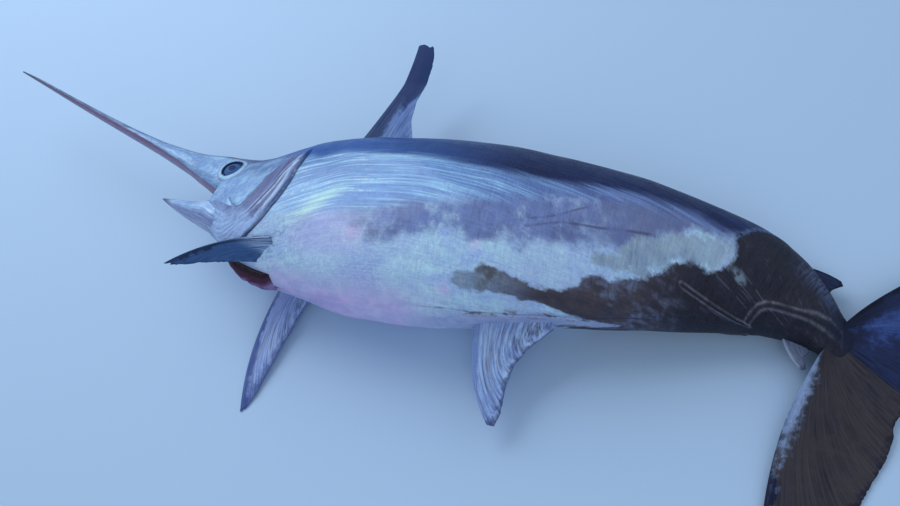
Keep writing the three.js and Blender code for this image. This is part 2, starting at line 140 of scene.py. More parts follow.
def between(table: Sequence[Sequence[float]], along: Array) -> Array:
    """Rows of a table drawn through with a smooth curve that never overshoots.

    Args:
        table: rows whose first number is the place along.
        along: places that are asked for.

    Returns:
        One row of the other numbers for each place.
    """
    rows = np.array(table)
    x, y = rows[:, 0], rows[:, 1:]
    at = np.clip(np.searchsorted(x, along, side="left") - 1, 0, len(x) - 2)
    span = np.diff(x)
    rise = np.diff(y, axis=0) / span[:, None]
    slope = np.zeros_like(y)
    product = rise[:-1] * rise[1:]
    total = np.where(np.abs(rise[:-1] + rise[1:]) < 1e-12, 1.0, rise[:-1] + rise[1:])
    slope[1:-1] = np.where(product <= 0, 0.0, 2 * product / total)
    slope[0], slope[-1] = rise[0], rise[-1]
    t = np.clip((along - x[at]) / span[at], 0, 1)[:, None]
    t2, t3, wide = t * t, t * t * t, span[at][:, None]
    return (
        y[at] * (2 * t3 - 3 * t2 + 1)
        + slope[at] * wide * (t3 - 2 * t2 + t)
        + y[at + 1] * (3 * t2 - 2 * t3)
        + slope[at + 1] * wide * (t3 - t2)
    )


class Wobble:
    """Smooth seeded noise of one or two numbers, the same on every run."""

    def __init__(self, seed: int, size: int = 64) -> None:
        """Makes the table of random heights."""
        self.size = size
        self.heights = np.random.default_rng(seed).uniform(-1, 1, (size, size))

    def __call__(self, x: Array, y: Array | float = 0.0) -> Array:
        """Noise from -1 to 1 whose hills are one unit apart.

        Args:
            x: first number.
            y: second number.

        Returns:
            The noise at each pair.
        """
        x, y = np.broadcast_arrays(np.asarray(x, float), np.asarray(y, float))
        ix, iy = np.floor(x).astype(int), np.floor(y).astype(int)
        fx, fy = smooth(0, 1, x - ix), smooth(0, 1, y - iy)
        low, high = (
            self.heights[ix % self.size, (iy + row) % self.size] * (1 - fx)
            + self.heights[(ix + 1) % self.size, (iy + row) % self.size] * fx
            for row in (0, 1)
        )
        return low * (1 - fy) + high * fy


class Spine:
    """The bent line that the body is drawn along, and places beside it."""

    nape_yaw = -0.355
    nape_from = 0.13
    nape_to = 0.25
    tail_yaw = -0.557
    tail_from = 0.672
    tail_to = 0.97
    root = 0.25
    start = -0.52
    step = 0.0025

    def __init__(self) -> None:
        """Sums the line once, in short steps."""
        self.along = self.start + self.step * np.arange(690)
        yaw = self.yaw(self.along + self.step / 2)
        self.x = np.concatenate([[0.0], np.cumsum(np.cos(yaw) * self.step)])[:-1]
        self.y = np.concatenate([[0.0], np.cumsum(np.sin(yaw) * self.step)])[:-1]
        self.x -= np.interp(self.root, self.along, self.x)
        self.y -= np.interp(self.root, self.along, self.y)

    def yaw(self, along: Array) -> Array:
        """Direction of the spine in plan, in radians from +X."""
        nape = np.clip((self.nape_to - along) / (self.nape_to - self.nape_from), 0, 1)
        return self.nape_yaw * nape + self.tail_yaw * smooth(self.tail_from, self.tail_to, along)

    def place(self, along: Array, up: Array, height: Array) -> Array:
        """Points in metres for places on the fish.

        Args:
            along: shares of the unit length along the spine.
            up: shares towards the back.
            height: shares over the floor. None lies below the floor.

        Returns:
            An array with three columns.
        """
        along, up, height = np.broadcast_arrays(along, up, height)
        yaw = self.yaw(along)
        x = np.interp(along, self.along, self.x) - np.sin(yaw) * up
        y = np.interp(along, self.along, self.y) + np.cos(yaw) * up
        return np.stack(
            [x * UNIT - MIDDLE[0], y * UNIT - MIDDLE[1], np.maximum(height, 0) * UNIT], -1
        )


SPINE = Spine()


def oval(
    table: Sequence[Sequence[float]], along: Array, angle: Array, proud: Array | float = 0.0
) -> Array:
    """Points of the oval sections of a table.

    Args:
        table: rows of along, offset, back, belly, half width and height.
        along: places along the fish.
        angle: angles round it, 0 at the back and a quarter turn at the left flank.
        proud: shares that the points stand off the section.

    Returns:
        An array of points in metres.
    """
    along, angle, proud = np.broadcast_arrays(along, angle, proud)
    rows = between(table, along.ravel()).reshape(along.shape + (5,))
    offset, back, belly, width, height = np.moveaxis(rows, -1, 0)
    c, s = (np.sign(v) * np.abs(v) ** SQUARENESS for v in (np.cos(angle), np.sin(angle)))
    up = offset + c * (np.where(c > 0, back, belly) + proud)
    return SPINE.place(along, up, height + s * (width + proud))


def mesh_object(
    name: str, points: Array, faces: Array, fields: dict[str, Array] | None = None
) -> bpy.types.Object:
    """A smooth mesh object from arrays.

    Args:
        name: name of the piece.
        points: corners, three columns in metres.
        faces: four columns of corner numbers.
        fields: numbers kept on each corner for the material, by name.

    Returns:
        The object, linked to the scene.
    """
    a, b, c, d = (points[faces[:, k]] for k in range(4))
    volume = np.sum(a * np.cross(b, c)) + np.sum(a * np.cross(c, d))
    faces = faces if volume > 0 else faces[:, ::-1]
    mesh = bpy.data.meshes.new(name)
    mesh.vertices.add(len(points))
    mesh.vertices.foreach_set("co", points.astype(np.float32).ravel())
    mesh.loops.add(faces.size)
    mesh.loops.foreach_set("vertex_index", faces.astype(np.int32).ravel())
    mesh.polygons.add(len(faces))
    mesh.polygons.foreach_set("loop_start", np.arange(len(faces), dtype=np.int32) * 4)
    mesh.update(calc_edges=True)
    mesh.validate()
    mesh.polygons.foreach_set("use_smooth", np.ones(len(mesh.polygons), bool))
    for field_name, values in (fields or {}).items():
        layer = mesh.attributes.new(field_name, "FLOAT", "POINT")
        layer.data.foreach_set("value", values.astype(np.float32).ravel())
    made = bpy.data.objects.new(name, mesh)
    bpy.context.scene.collection.objects.link(made)
    return made


def tube_faces(rings: int, sides: int) -> Array:
    """Corner numbers of a tube of rings, whose rows close on themselves.

    Args:
        rings: how many rings it has.
        sides: corners in each ring.

    Returns:
        Four columns of corner numbers.
    """
    i, j = np.meshgrid(np.arange(rings - 1), np.arange(sides), indexing="ij")
    here, there = i * sides, (i + 1) * sides
    k = (j + 1) % sides
    return np.stack([here + j, there + j, there + k, here + k], -1).reshape(-1, 4)


def capped_tube_faces(rings: int, sides: int) -> Array:
    """Corner numbers of a tube that two fans close, with the middles of the fans after its rings.

    Args:
        rings: how many rings it has.
        sides: corners in each ring, an even number.

    Returns:
        Four columns of corner numbers.
    """
    step = np.arange(0, sides, 2)
    after = (step + 2) % sides
    first = np.stack([np.full(len(step), rings * sides), after, step + 1, step], -1)
    last = np.stack([np.full(len(step), rings * sides + 1), step, step + 1, after], -1)
    last[:, 1:] += (rings - 1) * sides
    return np.concatenate([tube_faces(rings, sides), first, last])


def capped(rows: Array) -> Array:
    """The rows of a tube in one list, with the middles of the first and last row after them."""
    ends = np.stack([rows[0].mean(0), rows[-1].mean(0)])
    return np.concatenate([rows.reshape(-1, *rows.shape[2:]), ends])


def sheet_faces(rows: int, columns: int, start: int, turned: bool) -> Array:
    """Corner numbers of an open sheet of rows and columns.

    Args:
        rows: how many rows it has.
        columns: corners in each row.
        start: number of its first corner.
        turned: whether it faces the other way.

    Returns:
        Four columns of corner numbers.
    """
    i, j = np.meshgrid(np.arange(rows - 1), np.arange(columns - 1), indexing="ij")
    a = start + i * columns + j
    faces = np.stack([a, a + 1, a + columns + 1, a + columns], -1).reshape(-1, 4)
    return faces[:, ::-1] if turned else faces


def plate_faces(rows: int, columns: int) -> Array:
    """Corner numbers of a closed plate: two sheets of the same size and the rim between them.

    Args:
        rows: how many rows each sheet has.
        columns: corners in each row.

    Returns:
        Four columns of corner numbers.
    """
    n = rows * columns
    rim = np.concatenate(
        [
            np.arange(columns),
            np.arange(1, rows) * columns + columns - 1,
            np.arange(columns - 2, -1, -1) + (rows - 1) * columns,
            np.arange(rows - 2, 0, -1) * columns,
        ]
    )
    after = np.roll(rim, -1)
    edge = np.stack([rim, rim + n, after + n, after], -1)
    sheets = [sheet_faces(rows, columns, 0, False), sheet_faces(rows, columns, n, True)]
    return np.concatenate([*sheets, edge])


class Form(Enum):
    """How a marking is laid out on the skin."""

    REGION = "region"
    LINE = "line"
    BELOW = "below"


@dataclass(frozen=True)
class Marking:
    """A region, a line or a boundary on the skin, given by places along and round the fish."""

    name: str
    form: Form
    points: tuple[Pair, ...]

    def measure(self, chart: "Chart") -> Array:
        """Millimetres from the marking's edge, positive inside it, for each point of a chart.

        A LINE gives the distance from it, and BELOW is positive on the belly's side of the boundary.

        Args:
            chart: the places on the skin.

        Returns:
            One distance in millimetres for each place.
        """
        if self.form is Form.BELOW:
            at, level = zip(*self.points)
            return (chart.round - np.interp(chart.along, at, level)) * chart.girth
        closed = self.form is Form.REGION
        line = list(self.points) + ([self.points[0]] if closed else [])
        corners = [chart.flat(*p) for p in line]
        best = np.full(chart.along.shape, 1e9)
        inside = np.zeros(chart.along.shape, bool)
        for (ax, ay), (bx, by) in zip(corners, corners[1:]):
            dx, dy = bx - ax, by - ay
            t = np.clip(((chart.x - ax) * dx + (chart.y - ay) * dy) / (dx * dx + dy * dy + 1e-9), 0, 1)
            best = np.minimum(best, np.hypot(chart.x - ax - t * dx, chart.y - ay - t * dy))
            crosses = (ay > chart.y) != (by > chart.y)
            at_x = ax + (chart.y - ay) * dx / (dy if abs(dy) > 1e-9 else 1e-9)
            inside ^= crosses & (chart.x < at_x)
        return np.where(inside, best, -best) if closed else best


class Chart:
    """The skin laid flat: places along and round it, and the same in millimetres."""

    def __init__(self, along: Array, angle: Array) -> None:
        """Reads the girth at each place from the sections.

        Args:
            along: places along the fish.
            angle: angles round it, 0 at the back.
        """
        self.along = along
        turn = np.mod(angle / np.pi, 2.0)
        self.round = np.where(turn > 1, 2 - turn, turn)
        self.left = np.sin(angle)
        self.girth = self.girth_at(along)
        self.x, self.y = along * UNIT_MM, self.round * self.girth

    @staticmethod
    def girth_at(along: Array) -> Array:
        """Millimetres from back to belly along one flank, with the mouth's step left out.

        Args:
            along: places along the fish.

        Returns:
            One girth for each place.
        """
        rows = between(SECTIONS, np.maximum(np.asarray(along, float), THROAT_FROM).ravel())
        half = (rows[:, 1] + rows[:, 2]) / 2
        girth = np.pi * np.sqrt((half**2 + rows[:, 3] ** 2) / 2) * UNIT_MM
        thin = np.clip(0.35 + 0.65 * (np.asarray(along, float).ravel() + 0.1) / 0.218, 0.12, 1.0)
        return (girth * thin).reshape(np.shape(along))

    def flat(self, along: float, round_: float) -> Pair:
        """One place in millimetres along and round."""
        return along * UNIT_MM, round_ * float(self.girth_at(np.array([along]))[0])

    def before(self, edge: Sequence[Pair]) -> Array:
        """Millimetres of each place before an edge that is given by levels round and places along."""
        levels, places = zip(*edge)
        return (np.interp(self.round, levels, places) - self.along) * UNIT_MM


@dataclass(frozen=True)
class Spot:
    """An oval mark: its place along and round, half sizes in millimetres and turn in radians."""

    along: float
    round: float
    length: float
    height: float
    turn: float = 0.0

    def distance(self, chart: Chart) -> Array:
        """Distance of each place from the middle, where 1 is the oval's edge.

        Args:
            chart: the places on the skin.

        Returns:
            One distance for each place.
        """
        middle_x, middle_y = chart.flat(self.along, self.round)
        x, y = chart.x - middle_x, chart.y - middle_y
        c, s = math.cos(self.turn), math.sin(self.turn)
        return np.hypot((x * c - y * s) / self.length, (x * s + y * c) / self.height)


MARKINGS = (
    Marking("dark_back", Form.BELOW, (
        (-0.5, 0.44), (-0.3, 0.42), (-0.18, 0.36), (-0.1, 0.3), (-0.05, 0.25), (0.0, 0.22), (0.05, 0.22),
        (0.09, 0.25), (0.13, 0.28), (0.16, 0.31), (0.2, 0.31), (0.25, 0.35), (0.28, 0.37), (0.31, 0.34),
        (0.37, 0.355), (0.45, 0.365), (0.52, 0.395), (0.6, 0.4), (0.68, 0.36), (0.73, 0.34), (0.77, 0.335),
        (0.8, 0.37), (0.815, 0.35), (0.824, 0.27), (0.837, 0.18), (0.86, 0.08), (0.88, -0.1), (1.1, -0.1),
    )),
    Marking("silver_flank", Form.BELOW, (
        (-0.5, 0.2), (0.17, 0.2), (0.2, 0.6), (0.271, 0.61), (0.333, 0.58), (0.374, 0.56), (0.427, 0.54),
        (0.476, 0.52), (0.525, 0.5), (0.571, 0.48), (0.616, 0.45), (0.663, 0.42), (0.709, 0.4),
        (0.77, 0.39), (0.8, 0.38), (0.82, 0.3), (1.1, 0.2),
    )),
    Marking("lilac_band", Form.BELOW, (
        (-0.5, 0.2), (0.28, 0.5), (0.33, 0.6), (0.392, 0.67), (0.437, 0.64), (0.486, 0.61), (0.536, 0.635),
        (0.582, 0.625), (0.627, 0.59), (0.674, 0.59), (0.7, 0.57), (0.74, 0.5), (0.77, 0.43), (1.1, 0.3),
    )),
    Marking("rose_palate", Form.BELOW, (
        (-0.5, 0.5), (-0.25, 0.5), (-0.1, 0.56), (-0.05, 0.62), (0.0, 0.68), (0.05, 0.74), (0.112, 0.79),
        (0.118, 1.3), (1.1, 1.3),
    )),
    Marking("brown_patch", Form.REGION, (
        (0.505, 0.775), (0.515, 0.75), (0.524, 0.74), (0.535, 0.73), (0.54, 0.7), (0.552, 0.72),
        (0.57, 0.74), (0.588, 0.77), (0.611, 0.79), (0.634, 0.79), (0.65, 0.77), (0.661, 0.72),
        (0.677, 0.7), (0.69, 0.74), (0.701, 0.72), (0.72, 0.7), (0.738, 0.67), (0.747, 0.65),
        (0.76, 0.6), (0.775, 0.57), (0.79, 0.56), (0.8, 0.57), (0.81, 0.55), (0.817, 0.52),
        (0.82, 0.46), (0.817, 0.41), (0.815, 0.37), (0.823, 0.28), (0.836, 0.19), (0.859, 0.09),
        (0.87, -0.2), (1.1, -0.2), (1.1, 1.2), (0.75, 1.2), (0.7, 0.995), (0.66, 0.975), (0.64, 0.93),
        (0.63, 0.89), (0.611, 0.87), (0.588, 0.85), (0.565, 0.83), (0.542, 0.825), (0.518, 0.81),
    )),
    Marking("pale_patch", Form.REGION, (
        (0.665, 0.64), (0.69, 0.6), (0.72, 0.53), (0.75, 0.48), (0.775, 0.44), (0.8, 0.41),
        (0.813, 0.41), (0.82, 0.47), (0.817, 0.52), (0.806, 0.565), (0.795, 0.555), (0.78, 0.555),
        (0.765, 0.585), (0.746, 0.63), (0.735, 0.66), (0.72, 0.68), (0.7, 0.66), (0.68, 0.66),
    )),
    Marking("gill_slit", Form.REGION, (
        (0.176, 0.885), (0.197, 0.925), (0.211, 0.958), (0.23, 0.985), (0.25, 0.998), (0.25, 1.2),
        (0.185, 1.2), (0.181, 0.98),
    )),
    Marking("cheek_crease", Form.LINE, (
        (0.222, 0.37), (0.21, 0.417), (0.201, 0.455), (0.195, 0.517), (0.19, 0.55), (0.186, 0.589),
        (0.177, 0.611), (0.166, 0.606), (0.155, 0.588),
    )),
    Marking("cover_ridge", Form.LINE, (
        (0.249, 0.372), (0.241, 0.394), (0.232, 0.444), (0.227, 0.489), (0.22, 0.522), (0.213, 0.561),
        (0.203, 0.617), (0.194, 0.65),
    )),
    Marking("tail_crease", Form.LINE, (
        (0.776, 0.68), (0.79, 0.705), (0.805, 0.735), (0.829, 0.79), (0.852, 0.86), (0.866, 0.9),
    )),
    Marking("keel_crest", Form.LINE, (
        (0.864, 0.86), (0.866, 0.76), (0.869, 0.68), (0.875, 0.635), (0.885, 0.61), (0.9, 0.58),
        (0.92, 0.52), (0.94, 0.47), (0.955, 0.46),
    )),
    Marking("crest_line", Form.LINE, (
        (0.775, 0.41), (0.8, 0.39), (0.815, 0.36), (0.823, 0.27), (0.836, 0.18), (0.859, 0.09),
    )),
    Marking("scratch", Form.LINE, ((0.59, 0.535), (0.62, 0.51), (0.655, 0.462))),
    Marking("long_scratch", Form.LINE, (
        (0.585, 0.565), (0.624, 0.53), (0.67, 0.525), (0.715, 0.51), (0.745, 0.5),
    )),
    Marking("anal_crease", Form.LINE, (
        (0.45, 0.9), (0.493, 0.905), (0.53, 0.93), (0.58, 0.95), (0.65, 0.955), (0.75, 0.93),
    )),
)
PINK_SPOTS = (
    Spot(0.371, 0.64, 24.0, 24.0), Spot(0.498, 0.82, 15.0, 15.0), Spot(0.531, 0.64, 12.0, 12.0),
)
# Where the painted highlight (glint) lies on the silver flank
GLINT = Spot(0.302, 0.565, 62.0, 17.0, 0.32)
RING_SCAR = Spot(0.835, 0.54, 17.0, 11.0)
CHEST = Spot(0.249, 0.715, 1.0, 1.0 / 1.3)
JAW_CORNER = Marking("jaw_corner", Form.LINE, ((0.168, 0.63), (0.138, 0.62)))

# Edges of the gill cover and the cheek: level round the fish and place along it
COVER_EDGE = (
    (0.0, 0.2525), (0.3, 0.2525), (0.36, 0.251), (0.41, 0.25), (0.48, 0.2475), (0.54, 0.2395),
    (0.58, 0.232), (0.62, 0.2265), (0.67, 0.2165), (0.71, 0.2085), (0.78, 0.199), (0.86, 0.189),
    (0.93, 0.182), (1.0, 0.179),
)
CHEEK_EDGE = (
    (0.0, 0.17), (0.3, 0.2), (0.36, 0.222), (0.417, 0.21), (0.455, 0.201), (0.517, 0.195), (0.55, 0.19),
    (0.589, 0.186), (0.612, 0.176), (0.64, 0.13), (0.7, 0.115), (1.0, 0.115),
)


@dataclass
class EyePlace:
    """Where an eye sits, which way it looks and how large it is."""

    side: int
    along: float = 0.1105
    up: float = 0.0165
    out: float = 0.0262
    radius: float = 0.0203 * UNIT
    tilt: float = 0.2
    height: float = 0.084

    def centre(self) -> Array:
        """Middle of the eyeball in metres."""
        return SPINE.place(self.along, self.up, self.height + self.side * self.out)

    def look(self) -> Array:
        """Unit vector along which the eye looks.

        Returns:
            The three parts of the vector.
        """
        yaw = float(SPINE.yaw(np.array(self.along)))
        lean = math.sin(self.tilt)
        return np.array([-math.sin(yaw) * lean, math.cos(yaw) * lean, self.side * math.cos(self.tilt)])

    def off_axis(self, points: Array) -> tuple[Array, Array]:
        """Millimetres of each point along the line of sight and away from it.

        Args:
            points: points in metres.

        Returns:
            How far each lies ahead of the eye, and how far away from the line.
        """
        offset = points - self.centre()
        ahead = offset @ self.look()
        away = np.linalg.norm(offset - ahead[..., None] * self.look(), axis=-1)
        return ahead * 1000, away * 1000


@dataclass
class Skin:
    """The one skin from the tip of the bill to the root of the tail."""

    sides: int = 320
    spans: tuple[tuple[float, float, float], ...] = (
        (-0.49, -0.1, 0.004), (-0.1, 0.275, 0.0009), (0.275, 0.76, 0.0022), (0.76, 0.975, 0.0012),
    )
    cover_height: float = 5.2
    slot_depth: float = 3.2
    crease_depth: float = 2.2
    slit_depth: float = 9.0
    throat_fold: float = 12.5
    keel_height: float = 12.0
    fold_height: float = 3.4
    muscle_height: float = 1.6
    ridge_height: float = 0.72
    lid_height: float = 3.4
    socket_depth: float = 15.0
    nodes: tuple[str, ...] = (
        "bill", "head", "shoulder", "belly", "flank", "tail_stalk", "gill_cover_left",
        "gill_cover_right", "keel_left", "keel_right",
    )

    def cover_relief(self, chart: Chart, fields: dict[str, Array]) -> Array:
        """Height of the gill covers' raised edges and the creases of the cheek.

        Args:
            chart: the places on the skin.
            fields: the markings measured there, by name.

        Returns:
            One height in millimetres for each place.
        """
        wave = Wobble(3)(chart.round * 26, np.sign(chart.left) * 5.5) * 1.2
        before = chart.before(COVER_EDGE) + wave
        flank = smooth(0.27, 0.34, chart.round) * (1 - smooth(0.84, 0.93, chart.round))
        cover = smooth(-0.9, 0.9, before) * (0.2 + 0.8 * smooth(105, 4, before))
        cover = cover * (1 - smooth(80, 150, before))
        crease, ridge = fields["cheek_crease"], fields["cover_ridge"]
        height = self.cover_height * cover * flank - self.slot_depth * bump(before, -4.0, 3.4) * flank
        height -= self.crease_depth * bump(crease, 0, 2.6)
        height += 1.6 * bump(crease, 8, 7) * (chart.along < 0.23)
        return height + 1.5 * bump(ridge, 4, 4.5) - 1.3 * bump(ridge, -1.0, 2.2)

    def throat_relief(self, chart: Chart, fields: dict[str, Array]) -> Array:
        """Height of the folds that fan out from the corner of the jaw, and depth of the gill slit.

        Args:
            chart: the places on the skin.
            fields: the markings measured there, by name.

        Returns:
            One height in millimetres for each place.
        """
        u, q = chart.along, chart.round
        corner = JAW_CORNER.measure(chart)
        throat = smooth(8, 22, corner) * (1 - smooth(70, 105, corner)) * smooth(0.6, 0.68, q)
        throat *= smooth(0.12, 0.135, u) * (1 - smooth(0.196, 0.212, u)) * (1 - smooth(0.86, 0.95, q))
        ripple = corner + 3.5 * Wobble(5)(u * 90, q * 22)
        folds = np.abs(np.sin(ripple * math.pi / self.throat_fold)) ** 0.7
        height = 1.9 * throat * folds - 0.9 * throat
        slit = fields["gill_slit"]
        return height - self.slit_depth * smooth(-1.5, 3.0, slit) + 1.6 * bump(slit, -5, 4)

    def tail_relief(self, chart: Chart, fields: dict[str, Array]) -> Array:
        """Height of the keels and of the folds beside the anal fin and at the tail's root.

        Args:
            chart: the places on the skin.
            fields: the markings measured there, by name.

        Returns:
            One height in millimetres for each place.
        """
        u, q = chart.along, chart.round
        crest, crease = fields["keel_crest"], fields["tail_crease"]
        keel = smooth(0.864, 0.885, u) * (1 - smooth(0.945, 0.962, u))
        height = (self.keel_height * np.exp(-((crest / 11.0) ** 1.3)) - 1.2 * bump(crest, 22, 9)) * keel
        front = smooth(0.868, 0.86, u) + (1 - keel) * smooth(0.888, 0.87, u)
        height += self.fold_height * bump(crest, 0, 5.0) * np.clip(front, 0, 1) * smooth(0.95, 0.88, q)
        height += self.fold_height * (bump(crease, 0, 5.5) - 0.6 * bump(crease, 0, 1.6))
        height -= 1.6 * bump(fields["anal_crease"], 0, 3.0) * smooth(0.42, 0.5, u)
        return height + 1.3 * bump(fields["crest_line"], 0, 5)

    def muscle_relief(self, chart: Chart) -> Array:
        """Height of the muscles under the skin, the fine ridges of the flank and the uneven head.

        Args:
            chart: the places on the skin.

        Returns:
            One height in millimetres for each place.
        """
        u, q = chart.along, chart.round
        muscle = Wobble(11)(u * 13, q * 5) * self.muscle_height + Wobble(12)(u * 34, q * 12) * 0.6
        height = muscle * smooth(0.24, 0.32, u) * (1 - smooth(0.9, 0.95, u))
        ridges = np.sin(q * 150 + 3 * Wobble(14)(u * 8, q * 3)) * bump(q, 0.42, 0.07)
        height += self.ridge_height * ridges * smooth(0.45, 0.6, u) * (1 - smooth(0.72, 0.8, u))
        head = smooth(0.02, 0.1, u) * (1 - smooth(0.2, 0.26, u))
        return height + Wobble(15)(u * 60, q * 14) * 0.8 * head

    def relief(self, chart: Chart, fields: dict[str, Array]) -> Array:
        """Millimetres that the skin stands off the plain loft."""
        parts = (self.cover_relief, self.throat_relief, self.tail_relief)
        return sum(part(chart, fields) for part in parts) + self.muscle_relief(chart)

    def lids(self, points: Array) -> tuple[Array, Array]:
        """Raises the lids round both eyes and sinks the sockets for the eyeballs.

        Args:
            points: the skin's points in metres.

        Returns:
            The points where they are now, and millimetres of each from an eye's line of sight.
        """
        socket = np.full(points.shape[:-1], 99.0)
        for side in (1, -1):
            eye = EyePlace(side)
            ahead, away = eye.off_axis(points)
            near = (ahead > 0) & (away < 70)
            folds = 1.4 * bump(away, 37.5, 3.0) - 1.4 * bump(away, 42.5, 2.4)
            lift = self.lid_height * bump(away, 31.0, 2.6) + folds
            push = np.where(near, lift - self.socket_depth * smooth(29.2, 26.4, away), 0.0) / 1000
            points = points + push[..., None] * eye.look()
            socket = np.where(near, np.minimum(socket, away), socket)
        return points, socket

    @staticmethod
    def patterns(chart: Chart) -> dict[str, Array]:
        """The numbers besides the markings that the skin's finish reads, by name.

        Args:
            chart: the places on the skin.

        Returns:
            One array for each name.
        """
        swirl = 24 * Wobble(61)(chart.along * 62, chart.round * 19)
        return {
            "along": chart.along,
            "round": chart.round,
            "left": chart.left,
            "girth": chart.y / 1000,
            "spots": np.max([np.exp(-(spot.distance(chart) ** 2)) for spot in PINK_SPOTS], axis=0),
            "glint": np.exp(-(GLINT.distance(chart) ** 2)),
            "scar": smooth(1.25, 0.7, RING_SCAR.distance(chart)),
            "chest": CHEST.distance(chart) + swirl,
            "cover": chart.before(COVER_EDGE),
            "cheek": chart.before(CHEEK_EDGE),
        }

    def build(self) -> bpy.types.Object:
        """Makes the skin's mesh and lays the markings on it.

        Returns:
            The object, with no material yet.
        """
        stops = [np.arange(a, b - 1e-9, step) for a, b, step in self.spans]
        line = np.append(np.concatenate(stops), self.spans[-1][1])
        turn = np.arange(self.sides) / self.sides * 2 * np.pi
        along, angle = np.meshgrid(line, turn, indexing="ij")
        chart = Chart(along, angle)
        fields = {m.name: m.measure(chart) for m in MARKINGS}
        height = self.relief(chart, fields)
        points, socket = self.lids(oval(SECTIONS, along, angle, height * MILLIMETRE))
        points[..., 2] = np.maximum(points[..., 2], 0.0)
        fields |= self.patterns(chart) | {"socket": socket, "raised": height}
        kept = {name: capped(values) for name, values in fields.items()}
        skin = mesh_object("skin", capped(points), capped_tube_faces(len(line), self.sides), kept)
        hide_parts(*self.nodes)
        return skin


@dataclass
class LowerJaw:
    """The lower jaw, held open, with lips and fine lines along it."""

    sides: int = 160
    tip: float = -0.006
    root: float = 0.158
    step: float = 0.001
    lip_angle: float = 1.02
    lip_depth: float = 2.0

    def build(self) -> bpy.types.Object:
        """Makes the jaw from its pointed tip to where it runs into the throat.

        Returns:
            The object, with no material yet.
        """
        line = np.append(np.arange(self.tip, self.root, self.step), self.root)
        turn = np.arange(self.sides) / self.sides * 2 * np.pi
        along, angle = np.meshgrid(line, turn, indexing="ij")
        level = np.minimum(angle, 2 * np.pi - angle)
        grown = smooth(self.tip, 0.05, along)
        height = -self.lip_depth * bump(level, self.lip_angle, 0.1) * grown
        height += 0.9 * bump(level, self.lip_angle - 0.22, 0.12) * grown
        lines = np.sin(level * 26 + 2.2 * Wobble(21)(along * 60, level * 2)) * smooth(1.2, 1.5, level)
        height += 0.45 * lines * grown * (1 - smooth(2.6, 3.0, level))
        height += 0.5 * Wobble(22)(along * 120, level * 5) * grown
        points = oval(JAW_SECTIONS, along, angle, height * MILLIMETRE)
        fields = {"along": along, "level": level, "raised": height}
        kept = {n: np.concatenate([v.ravel(), v[0, :1], v[-1, :1]]) for n, v in fields.items()}
        faces = capped_tube_faces(len(line), self.sides)
        jaw = mesh_object("lower_jaw_skin", capped(points), faces, kept)
        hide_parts("lower_jaw")
        return jaw


@dataclass
class Eye:
    """A wet eyeball with a clear bulge over the iris and a groove round it."""

    side: int
    rings: int = 72
    sides: int = 96
    iris: float = 25.0
    bulge: float = 0.8
    groove: float = 0.5
    clearance: float = 0.7

    def build(self) -> bpy.types.Object:
        """Turns the eye's profile round the line along which it looks.

        Returns:
            The object, with no material yet.
        """
        place = EyePlace(self.side)
        radius = place.radius * 1000 - self.clearance
        turn = np.linspace(0.0, np.pi, self.rings)
        away = radius * np.sin(turn)
        ahead = radius * np.cos(turn)
        front = ahead > 0
        ahead = ahead + np.where(front, self.bulge * smooth(self.iris, 6, away), 0)
        ahead = ahead - np.where(front, self.groove * bump(away, self.iris + 0.6, 0.9), 0)
        look = Vector(place.look())
        across = look.orthogonal().normalized()
        over = look.cross(across)
        angle = np.arange(self.sides) / self.sides * 2 * np.pi
        ring = np.cos(angle)[:, None] * np.array(across) + np.sin(angle)[:, None] * np.array(over)
        offset = ahead[:, None, None] * place.look() + away[:, None, None] * ring[None]
        points = place.centre() + offset / 1000
        off = np.repeat(np.where(front, away, 40.0)[:, None], self.sides, 1)
        bearing = np.repeat(np.sin(angle)[None], self.rings, 0)
        name = "eye_left_globe" if self.side > 0 else "eye_right_globe"
        eye = mesh_object(name, points.reshape(-1, 3), tube_faces(self.rings, self.sides),
                          {"off": off, "bearing": bearing})
        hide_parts("eye_left" if self.side > 0 else "eye_right")
        return eye


@dataclass
class Gills:
    """Red gill filaments and the flap that hangs over them, in the slit under the throat."""

    combs: int = 44
    across: int = 36
    start: float = 0.17
    length: float = 0.072
    angle: float = 2.82
    breadth: float = 0.4
    proud: float = 15.0
    ridge: float = 3.6
    depth: float = 7.0

    def build(self) -> bpy.types.Object:
        """Makes the comb of filaments as one ridged sheet with a back face.

        Returns:
            The object, with no material yet.
        """
        rows = self.combs * 5 + 1
        t = np.linspace(0, 1, rows)[:, None]
        s = np.linspace(0, 1, self.across)[None]
        ramp = np.minimum(1, 0.3 + 2 * t) * smooth(1.02, 0.86, t)
        comb = np.abs(np.sin(t * self.combs * np.pi + 0.9 * Wobble(31)(t * 9, s * 3))) ** 0.7
        high = 1.4 + ramp * np.sin(np.pi * (0.12 + 0.76 * s)) * (self.proud + self.ridge * comb)
        high = high * (1 + 0.16 * Wobble(32)(t * 11, s * 4))
        along = self.start + self.length * t + 0 * s
        angle = self.angle + self.breadth * s + 0 * t
        top = oval(SECTIONS, along, angle, high * MILLIMETRE)
        back = oval(SECTIONS, along, angle, np.full_like(high, -self.depth) * MILLIMETRE)
        points = np.concatenate([top.reshape(-1, 3), back.reshape(-1, 3)])
        fields = {"comb": np.tile((comb + 0 * s).ravel(), 2), "across": np.tile((s + 0 * t).ravel(), 2)}
        gills = mesh_object("gill_filaments", points, plate_faces(rows, self.across), fields)
        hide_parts("gills")
        return gills


ToWorld = Callable[[Array, Array, Array], Array]


def trunk_height(along: Array) -> Array:
    """Height of the spine over the floor at places along the trunk."""
    return between(SECTIONS, np.minimum(along, 0.95).ravel())[:, 4].reshape(np.shape(along))


